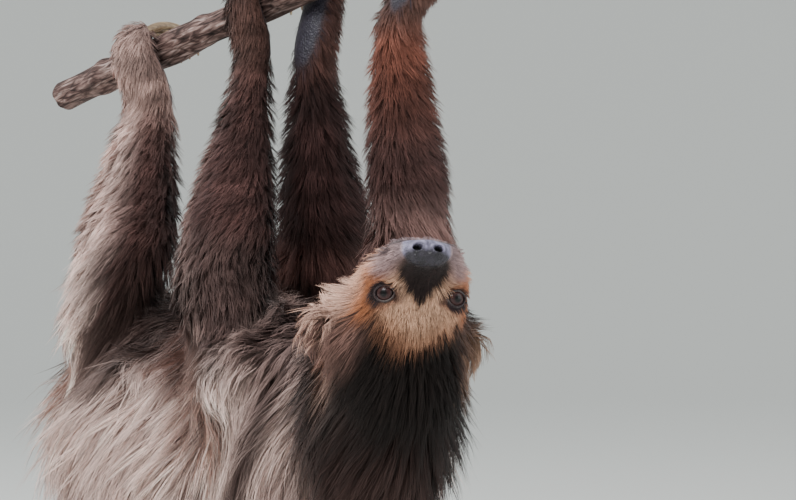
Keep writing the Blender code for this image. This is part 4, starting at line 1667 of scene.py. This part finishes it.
    def share_out(self, strands: Strands) -> dict[str, Rows]:
        """Splits the strands into pieces of the coat by the part they grow on.

        Args:
            strands: The roots.

        Returns:
            The name of each piece to the rows of its strands.
        """
        names = np.array(FLESH)[strands.weights.argmax(axis=1)]
        x, y, _ = strands.root.T
        picked = {"head": np.isin(names, [*FACE, *EAR_SEATS]), "neck": names == "neck"}
        trunk = np.isin(names, ["trunk", "tail"])
        cuts = np.quantile(y[trunk], [0, 0.34, 0.67, 1.0])
        cuts[-1] += 1.0
        for name, low, high in zip(("chest", "waist", "rump"), cuts, cuts[1:]):
            band = trunk & (y >= low) & (y < high)
            picked |= {f"{name}_left": band & (x < 0), f"{name}_right": band & (x >= 0)}
        picked |= {leg.name: np.isin(names, leg.parts()) for leg in LEGS}
        return {name: np.flatnonzero(rows) for name, rows in picked.items() if rows.any()}

    def colour(self, strands: Strands, paths: Rows, rows: Rows) -> Rows:
        """Colours strands from root to tip by the same markings as the skin.

        Args:
            strands: All the strands.
            paths: Their places from root to tip.
            rows: Which of them are coloured.

        Returns:
            A linear colour for each place along each strand.
        """
        markings, count, root = self.skin.markings, len(rows), strands.root[rows]
        base = markings.at(root, strands.normal[rows], strands.weights[rows])
        lock = WaveNoise(0.0085, 21, 14).at(root)
        tone = (1.0 + 0.15 * np.clip(lock, -1.2, 1.2)) * RNG.uniform(0.82, 1.18, count)
        long_hair = ease(strands.length[rows], 0.012, 0.050)
        dark = (RNG.uniform(0, 1, count) < 0.15) * long_hair
        pale = (RNG.uniform(0, 1, count) < 0.10) * (1.0 - 0.5 * long_hair)
        tone = tone * (1.0 - 0.40 * dark) * (1.0 + 0.35 * pale)
        # Darker roots and paler tips: partly the hair's own tone, partly painted shade deep between the
        # locks.
        root_shade = (0.92 - 0.36 * long_hair)[:, None]
        tip_shade = (1.04 + 0.18 * long_hair)[:, None]
        shade = root_shade + (tip_shade - root_shade) * self.run**0.8
        colour = base[:, None, :] * (tone[:, None] * shade)[:, :, None]
        # The body's strands carry the painted shade of the hollows along their length.
        body = ease(share_of(strands.weights[rows], "head"), 0.5, 0.2) > 0.5
        places, tints = paths[rows][body].reshape(-1, 3), colour[body].reshape(-1, 3)
        colour[body] = markings.shadow(places, tints).reshape(-1, *colour.shape[1:])
        return colour

    def mesh_of(self, name: str, strands: Strands, paths: Rows, rows: Rows) -> Piece:
        """Turns strands into one mesh of tapered blades.

        Args:
            name: Name of the piece.
            strands: All the strands.
            paths: Their places from root to tip.
            rows: Which strands go into this piece.

        Returns:
            The piece.
        """
        colours = self.colour(strands, paths, rows)
        batches, start = [], 0
        for steps in np.unique(strands.steps[rows]):
            picked = np.flatnonzero(strands.steps[rows] == steps)
            *fields, faces = self.blades(strands, paths, rows[picked], colours[picked], steps)
            batches.append((*fields, faces + start))
            start += len(fields[0])
        points, normals, tints, uvs, faces = (np.concatenate(field) for field in zip(*batches))
        mesh = bpy.data.meshes.new(name)
        mesh.vertices.add(len(points))
        mesh.vertices.foreach_set("co", points.astype(np.float32).ravel())
        mesh.loops.add(faces.size)
        mesh.loops.foreach_set("vertex_index", faces.astype(np.int32).ravel())
        mesh.polygons.add(len(faces))
        mesh.polygons.foreach_set("loop_start", np.arange(0, faces.size, 3, dtype=np.int32))
        shade_smooth(mesh)
        mesh.update(calc_edges=True)
        layer = mesh.uv_layers.new(name=UV_NAME)
        layer.data.foreach_set("uv", uvs[faces.ravel()].astype(np.float32).ravel())
        set_colour(mesh, np.clip(tints, 0, 1))
        mesh.normals_split_custom_set_from_vertices(normals.astype(np.float32))
        return add_object(name, mesh)

    def blades(
        self, strands: Strands, paths: Rows, rows: Rows, colours: Rows, steps: int
    ) -> tuple[Rows, Rows, Rows, Rows, Rows]:
        """Makes the blades of strands that have one number of steps.

        Args:
            strands: All the strands.
            paths: Their places from root to tip.
            rows: Which strands are made.
            colours: Their colours from root to tip.
            steps: How many steps each blade has.

        Returns:
            Points, normals, colours, unwrap and faces.
        """
        keep = np.round(np.linspace(0, self.most_steps, steps + 1)).astype(int)
        path, colour, rings = paths[rows][:, keep], colours[:, keep], len(keep)
        t = keep / self.most_steps
        heading = unit(np.gradient(path, axis=1))
        normal = np.broadcast_to(strands.normal[rows][:, None], path.shape)
        across = unit(np.cross(heading, normal))
        facing = unit(np.cross(across, heading))
        twist = RNG.normal(0, self.twist, (len(rows), 1, 1))
        side = across * np.cos(twist) + facing * np.sin(twist)
        taper = (0.60 + 0.40 * ease(t, 0.0, 0.25)) * (1.0 - t**2.2)
        half = 0.5 * strands.width[rows][:, None] * taper[None]
        soft = unit(normal * 0.75 + facing * 0.45)
        uv = np.repeat(strands.uv[rows][:, None], rings, axis=1)
        uv[..., 1] += (t[None] - 0.5) * PATCH
        edges = []
        for sign in (-1, 1):
            place = path + side * (sign * half)[:, :, None]
            shifted = np.clip(uv + np.array((sign * PATCH / 2, 0.0)), 0, 1)
            edges.append((place, unit(soft + side * 0.35 * sign), colour, shifted))
        points, normals, tints, uvs = (
            np.concatenate([first[:, :-1], second[:, :-1], first[:, -1:]], axis=1)
            for first, second in zip(*edges)
        )
        low = np.arange(rings - 2)
        high = low + rings - 1
        halves = (low, high, low + 1), (high, high + 1, low + 1)
        tip = [[rings - 2, 2 * rings - 3, 2 * rings - 2]]
        faces = np.concatenate([*(np.stack(corners, axis=1) for corners in halves), tip])
        faces = faces[None] + (np.arange(len(rows)) * (2 * rings - 1))[:, None, None]
        flat = (field.reshape(-1, field.shape[-1]) for field in (points, normals, tints, uvs, faces))
        return tuple(flat)


@dataclass(frozen=True)
class EyeFinish:
    """A wet brown eye: dark pupil, brown iris with fine spokes, darker rim."""

    name: str = "sloth_eye"
    spokes: float = 26.0
    wander: float = 0.10

    def make(self) -> bpy.types.Material:
        """Builds the material from the angle off the gaze and the turn round it.

        Returns:
            The finished material.
        """
        graph = Graph(self.name)
        links = {"W": graph.reading("Turn"), "Scale": self.spokes, "Detail": 3.0}
        spokes = graph.add("TexNoise", links, noise_dimensions="1D").outputs["Fac"]
        wander = graph.maths("MULTIPLY", spokes, self.wander)
        pupil = {0.18: "050304", 0.23: "0b0606"}
        iris = {0.29: "2a1516", 0.46: "3c2220", 0.60: "1d1011"}
        white = {0.68: "0d0708", 0.95: "171010"}
        off = graph.maths("ADD", graph.reading("OffGaze"), wander)
        return graph.shade(
            Base_Color=graph.ramp(off, pupil | iris | white),
            Roughness=0.30,
            Specular_IOR_Level=0.12,
            Coat_Weight=0.35,
            Coat_Roughness=0.05,
        )


@dataclass(frozen=True)
class Eyes:
    """Both eyeballs, each with a raised cornea, behind the lids."""

    segments: int = 64
    rings: int = 40
    bulge: float = 0.075
    widest: float = 1.25

    def build(self) -> None:
        """Models, dresses and places the eyes."""
        finish = EyeFinish().make()
        for side in Side:
            name = side.name.lower()
            ball = add_ball(self.segments, self.rings)
            ball.name = f"eyeball_{name}"
            local = unit(get_points(ball.data))
            off = np.arccos(np.clip(local[:, 2], -1, 1))
            turn = (np.arctan2(local[:, 1], local[:, 0]) / (2 * math.pi)) % 1.0
            set_layer(ball.data, "OffGaze", off / self.widest)
            set_layer(ball.data, "Turn", np.abs(turn * 2 - 1) * 4)
            look, across, rise = eye_axes(side)
            local *= ((1.0 + self.bulge * ease(off, 0.85, 0.35)) * EYE_RADIUS)[:, None]
            set_points(ball.data, HEAD.to_world(eye_seat(side) + local @ [across, rise, look]))
            make_outward(ball)
            shade_smooth(ball.data)
            wear(ball, finish)
            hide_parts(f"eye_{name}")
            ride(ball, Slot.EYE)


@dataclass(frozen=True)
class BarkFinish:
    """Smooth grey-brown bark with pale lengthwise streaks, lichen specks and dark cracks."""

    name: str = "branch_bark"
    grain: Triple = (0.35, 2.4, 2.4)

    def make(self) -> bpy.types.Material:
        """Builds the material from the place along and round the branch, in centimetres.

        Returns:
            The finished material.
        """
        graph = Graph(self.name)
        place = graph.reading("BarkPlace", "Vector")
        broad = graph.noise(place, 0.6, 6.0)
        fibres = graph.stretch(place, self.grain)
        streak = graph.noise(fibres, 1.2, 8.0, 0.9)
        links = {"Vector": fibres, "Scale": 0.9}
        crack = graph.add("TexVoronoi", links, feature="DISTANCE_TO_EDGE").outputs["Distance"]
        bark = graph.ramp(streak, {0.32: "2b1e1b", 0.46: "594440", 0.58: "8a716a", 0.74: "c4aea8"})
        bark = graph.multiply(bark, graph.ramp(crack, {0.0: 0.25, 0.10: 1.0}), 0.8)
        bark = graph.multiply(bark, graph.ramp(broad, {0.35: 0.70, 0.65: 1.12}))
        graph.bump(graph.maths("ADD", streak, crack), 0.7, 0.0008)
        return graph.shade(Base_Color=bark, Roughness=0.88, Specular_IOR_Level=0.2)


@dataclass(frozen=True)
class SawnFinish:
    """Sawn end grain: pale wood with growth rings round a dark pith."""

    name: str = "branch_end_grain"
    rings: float = 62.0

    def make(self) -> bpy.types.Material:
        """Builds the material from the distance to the pith.

        Returns:
            The finished material.
        """
        graph = Graph(self.name)
        turn = graph.maths("MULTIPLY", graph.reading("PithReach"), self.rings)
        half = graph.span(graph.maths("SINE", turn), From_Min=-1.0, From_Max=1.0)
        colour = graph.ramp(half, {0.0: "9c7c58", 1.0: "c9ab82"})
        return graph.shade(Base_Color=colour, Roughness=0.8)


@dataclass(frozen=True)
class Branch:
    """The cut length of branch: bark with ridges and knots, and two sawn ends."""

    rings: int = 360
    sides: int = 72
    length: float = 0.53
    radius: float = 0.0117
    ridge: float = 0.00055
    lump: float = 0.0006
    knots: tuple[tuple[float, float], ...] = ((0.240, 0.0030), (0.094, 0.0024), (-0.092, 0.0026))

    def build(self) -> None:
        """Wraps a fine grid round the branch's line, ridges it and closes the ends."""
        bpy.ops.mesh.primitive_grid_add(
            x_subdivisions=self.sides, y_subdivisions=self.rings, size=1.0
        )
        piece = bpy.context.active_object
        piece.name = "perch_bark"
        flat = get_points(piece.data) + 0.5
        turn = 2 * math.pi * flat[:, 0]
        set_points(piece.data, np.stack([np.cos(turn), np.sin(turn), flat[:, 1]], axis=1))
        select_only(piece)
        bpy.ops.object.mode_set(mode="EDIT")
        bpy.ops.mesh.select_all(action="SELECT")
        bpy.ops.mesh.remove_doubles(threshold=WELD)
        bpy.ops.mesh.fill_holes(sides=0)
        bpy.ops.mesh.select_face_by_sides(number=4, type="GREATER", extend=False)
        bpy.ops.mesh.poke()
        bpy.ops.object.mode_set(mode="OBJECT")
        self.shape(piece)
        self.dress(piece)

    def shape(self, piece: Piece) -> None:
        """Bends the straight tube along the branch and raises its bark.

        Args:
            piece: The tube, of radius 1 and length 1.
        """
        local = get_points(piece.data)
        share = np.clip(local[:, 2], 0, 1)
        turn = np.arctan2(local[:, 1], local[:, 0])
        reach = np.hypot(local[:, 0], local[:, 1])
        along = PERCH.along()
        outward = unit(np.array((1.0, 0.0, 0.0)) - along * along[0])
        up = unit(np.cross(along, outward))
        centre = np.array([PERCH.point(value) for value in share])
        wrapped = share * self.length, self.radius * np.cos(turn), self.radius * np.sin(turn)
        surface = np.stack(wrapped, axis=1)
        ridge = WaveNoise(0.0065, 31, 16).at(surface * np.array((0.16, 1.0, 1.0)))
        girth = self.radius + self.ridge * ridge + self.lump * WaveNoise(0.034, 33).at(surface)
        for place, height in self.knots:
            knot = 0.75 * height * bell(centre[:, 1], place, 0.008)
            girth = girth + knot * (0.65 + 0.35 * np.cos(turn - 40 * place))
        ring = outward * np.cos(turn)[:, None] + up * np.sin(turn)[:, None]
        set_points(piece.data, centre + ring * (girth * reach)[:, None])
        set_layer(piece.data, "BarkPlace", surface * 100.0)
        set_layer(piece.data, "PithReach", reach * (1.0 + 0.05 * np.sin(3 * turn)))
        make_outward(piece)

    def dress(self, piece: Piece) -> None:
        """Gives bark to the sides and end grain to the ends.

        Args:
            piece: The shaped branch.
        """
        wear(piece, BarkFinish().make(), SawnFinish().make())
        along = Vector(PERCH.along())
        for face in piece.data.polygons:
            sawn = abs(face.normal.dot(along)) > 0.9 and len(face.vertices) == 3
            face.material_index = 1 if sawn else 0
            face.use_smooth = not sawn
        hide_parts("perch_branch")
        ride(piece, Slot.BARK)


@dataclass(frozen=True)
class HornFinish:
    """Claws of pale brown horn, streaked along their length and worn satin."""

    name: str = "claw_horn"
    grain: Triple = (60.0, 900.0, 120.0)

    def make(self) -> bpy.types.Material:
        """Builds the material.

        Returns:
            The finished material.
        """
        graph = Graph(self.name)
        streak = graph.noise(graph.stretch(graph.place(), self.grain), 1.0, 4.0)
        colour = graph.ramp(streak, {0.28: "5c4a3c", 0.50: "9a8468", 0.75: "c9b795"})
        graph.bump(streak, 0.25, 0.0003)
        return graph.shade(Base_Color=colour, Roughness=0.38, Specular_IOR_Level=0.5)


@dataclass(frozen=True)
class WoodFinish:
    """Dark oiled hardwood with fine lengthwise grain, satin."""

    name: str = "stand_wood"
    grain: Triple = (60.0, 3.0, 60.0)

    def make(self) -> bpy.types.Material:
        """Builds the material.

        Returns:
            The finished material.
        """
        graph = Graph(self.name)
        grain = graph.noise(graph.stretch(graph.place(), self.grain), 1.0, 8.0, 1.2)
        colour = graph.ramp(grain, {0.3: "2c1d15", 0.55: "4a3224", 0.8: "65472f"})
        graph.bump(grain, 0.15, 0.0003)
        return graph.shade(Base_Color=colour, Roughness=0.42, Coat_Weight=0.2, Coat_Roughness=0.3)


@dataclass(frozen=True)
class SteelFinish:
    """Brushed steel rods with fine rings from turning."""

    name: str = "stand_steel"
    grain: Triple = (40.0, 40.0, 2600.0)
    grey: tuple[float, float, float, float] = (0.56, 0.56, 0.57, 1.0)

    def make(self) -> bpy.types.Material:
        """Builds the material.

        Returns:
            The finished material.
        """
        graph = Graph(self.name)
        brush = graph.noise(graph.stretch(graph.place(), self.grain), 1.0, 3.0)
        rough = graph.span(brush, To_Min=0.24, To_Max=0.42)
        graph.bump(brush, 0.12, 0.0001)
        return graph.shade(Base_Color=self.grey, Metallic=1.0, Roughness=rough)


@dataclass(frozen=True)
class Hardware:
    """CAD nodes that stay: claws, base and rods, with rounder forms and finishes."""

    nodes: dict[str, Piece]
    levels: int = 2
    base_edge: float = 0.0012
    rod_edge: float = 0.0004

    def build(self) -> None:
        """Dresses the nodes; their own meshes stay as they are."""
        horn, wood, steel = HornFinish().make(), WoodFinish().make(), SteelFinish().make()
        for name, node in self.nodes.items():
            if name.startswith("claw_"):
                self.weld(node)
                add_modifier(node, "SUBSURF", levels=self.levels, render_levels=self.levels)
                wear(node, horn)
            elif name == "stand_base":
                self.bevel(node, self.base_edge)
                wear(node, wood)
            elif name.startswith("stand_rod"):
                self.bevel(node, self.rod_edge)
                wear(node, steel)
            else:
                continue
            LOG.info("%s: dressed", name)

    @staticmethod
    def weld(node: Piece) -> None:
        """Welds the corners of a node's faces."""
        add_modifier(node, "WELD", merge_threshold=WELD)

    def bevel(self, node: Piece, width: float) -> None:
        """Breaks the sharp edges of a node.

        Args:
            node: The node.
            width: Width of the bevel.
        """
        self.weld(node)
        sharp = math.radians(40)
        add_modifier(node, "BEVEL", width=width, segments=3, limit_method="ANGLE", angle_limit=sharp)


@dataclass(frozen=True)
class Lamp:
    """One soft square light."""

    name: str
    place: Triple
    power: float
    size: float

    def build(self, aim: Triple) -> None:
        """Hangs the light.

        Args:
            aim: The place that it faces.
        """
        data = bpy.data.lights.new(self.name, "AREA")
        data.energy = self.power
        data.size = self.size
        lamp = add_object(self.name, data)
        lamp.location = self.place
        way = Vector(aim) - Vector(self.place)
        lamp.rotation_euler = way.to_track_quat("-Z", "Y").to_euler()


@dataclass(frozen=True)
class Studio:
    """Pale floor that sweeps up into a backdrop, soft lights and the camera."""

    radius: float = 6.0
    rim: float = 4.5
    sweep: float = 0.55
    wall_steps: int = 12
    aim: Triple = (0.0, -0.05, 0.33)
    sky: tuple[float, float, float, float] = (0.92, 0.95, 0.97, 1.0)
    sky_power: float = 0.85
    turn: float = 27.0
    away: float = 2.31
    height: float = 0.375
    lens: float = 150.0
    target: tuple[float, float] = (0.043, -0.140)
    lamps: tuple[Lamp, ...] = (
        Lamp("key", (-2.2, -1.6, 2.6), 108.0, 1.6),
        Lamp("fill", (2.4, -2.4, 1.2), 38.0, 2.4),
        Lamp("rim", (-1.6, 2.2, 2.4), 60.0, 1.6),
    )

    def build(self) -> None:
        """Sets the studio up."""
        floor = self.floor()
        self.dress(floor)
        for lamp in self.lamps:
            lamp.build(self.aim)
        world = bpy.data.worlds.new("studio_world")
        world.use_nodes = True
        back = world.node_tree.nodes["Background"]
        back.inputs["Color"].default_value = self.sky
        back.inputs["Strength"].default_value = self.sky_power
        bpy.context.scene.world = world
        self.camera()

    def floor(self) -> Piece:
        """Models a wide round floor whose rim is extruded up into a curved wall all round.

        Returns:
            The floor.
        """
        bpy.ops.mesh.primitive_circle_add(vertices=96, radius=self.radius, fill_type="NGON")
        floor = bpy.context.active_object
        floor.name = "studio_floor"
        bpy.ops.object.mode_set(mode="EDIT")
        bpy.ops.mesh.select_all(action="SELECT")
        bpy.ops.mesh.inset(thickness=self.rim)
        bpy.ops.mesh.select_all(action="DESELECT")
        shape = bmesh.from_edit_mesh(floor.data)
        for edge in shape.edges:
            edge.select_set(edge.is_boundary)
        bmesh.update_edit_mesh(floor.data)
        for step in range(self.wall_steps):
            turn = math.radians(90.0 * (step + 0.5) / self.wall_steps)
            run, rise = self.sweep * math.cos(turn), self.sweep * math.sin(turn)
            bpy.ops.mesh.extrude_edges_move(TRANSFORM_OT_translate={"value": (0, 0, rise)})
            reach = max(edge.verts[0].co.xy.length for edge in shape.edges if edge.select)
            grow = (reach + run) / reach
            bpy.ops.transform.resize(value=(grow, grow, 1.0), center_override=(0, 0, 0))
            shape = bmesh.from_edit_mesh(floor.data)
        bpy.ops.object.mode_set(mode="OBJECT")
        bpy.ops.object.shade_smooth()
        return floor

    @staticmethod
    def dress(floor: Piece) -> None:
        """Gives the floor matt paper with a faint fibre.

        Args:
            floor: The modelled floor.
        """
        graph = Graph("studio_paper")
        colour = graph.ramp(graph.noise(graph.place(), 900.0), {0.3: "dadcd8", 0.7: "e3e5e1"})
        wear(floor, graph.shade(Base_Color=colour, Roughness=0.9))

    def camera(self) -> None:
        """A long lens, level with the animal's face."""
        data = bpy.data.cameras.new("camera")
        data.lens = self.lens
        data.sensor_width = 36.0
        data.clip_end = 60.0
        camera = add_object("camera", data)
        turn = math.radians(self.turn)
        view = Vector((math.sin(turn), math.cos(turn), 0.0))
        camera.location = Vector((*self.target, self.height)) - view * self.away
        camera.rotation_euler = view.to_track_quat("-Z", "Y").to_euler()
        bpy.context.scene.camera = camera


def main() -> None:
    """Builds every sub-assembly in order."""
    logging.basicConfig(level=logging.INFO, format="%(message)s")
    skin = Skin(frame["nodes"])
    skin.build()
    Eyes().build()
    Hardware(frame["nodes"]).build()
    Branch().build()
    Coat(skin, 1.0).build()
    Studio().build()


if __name__ == "__main__":
    main()
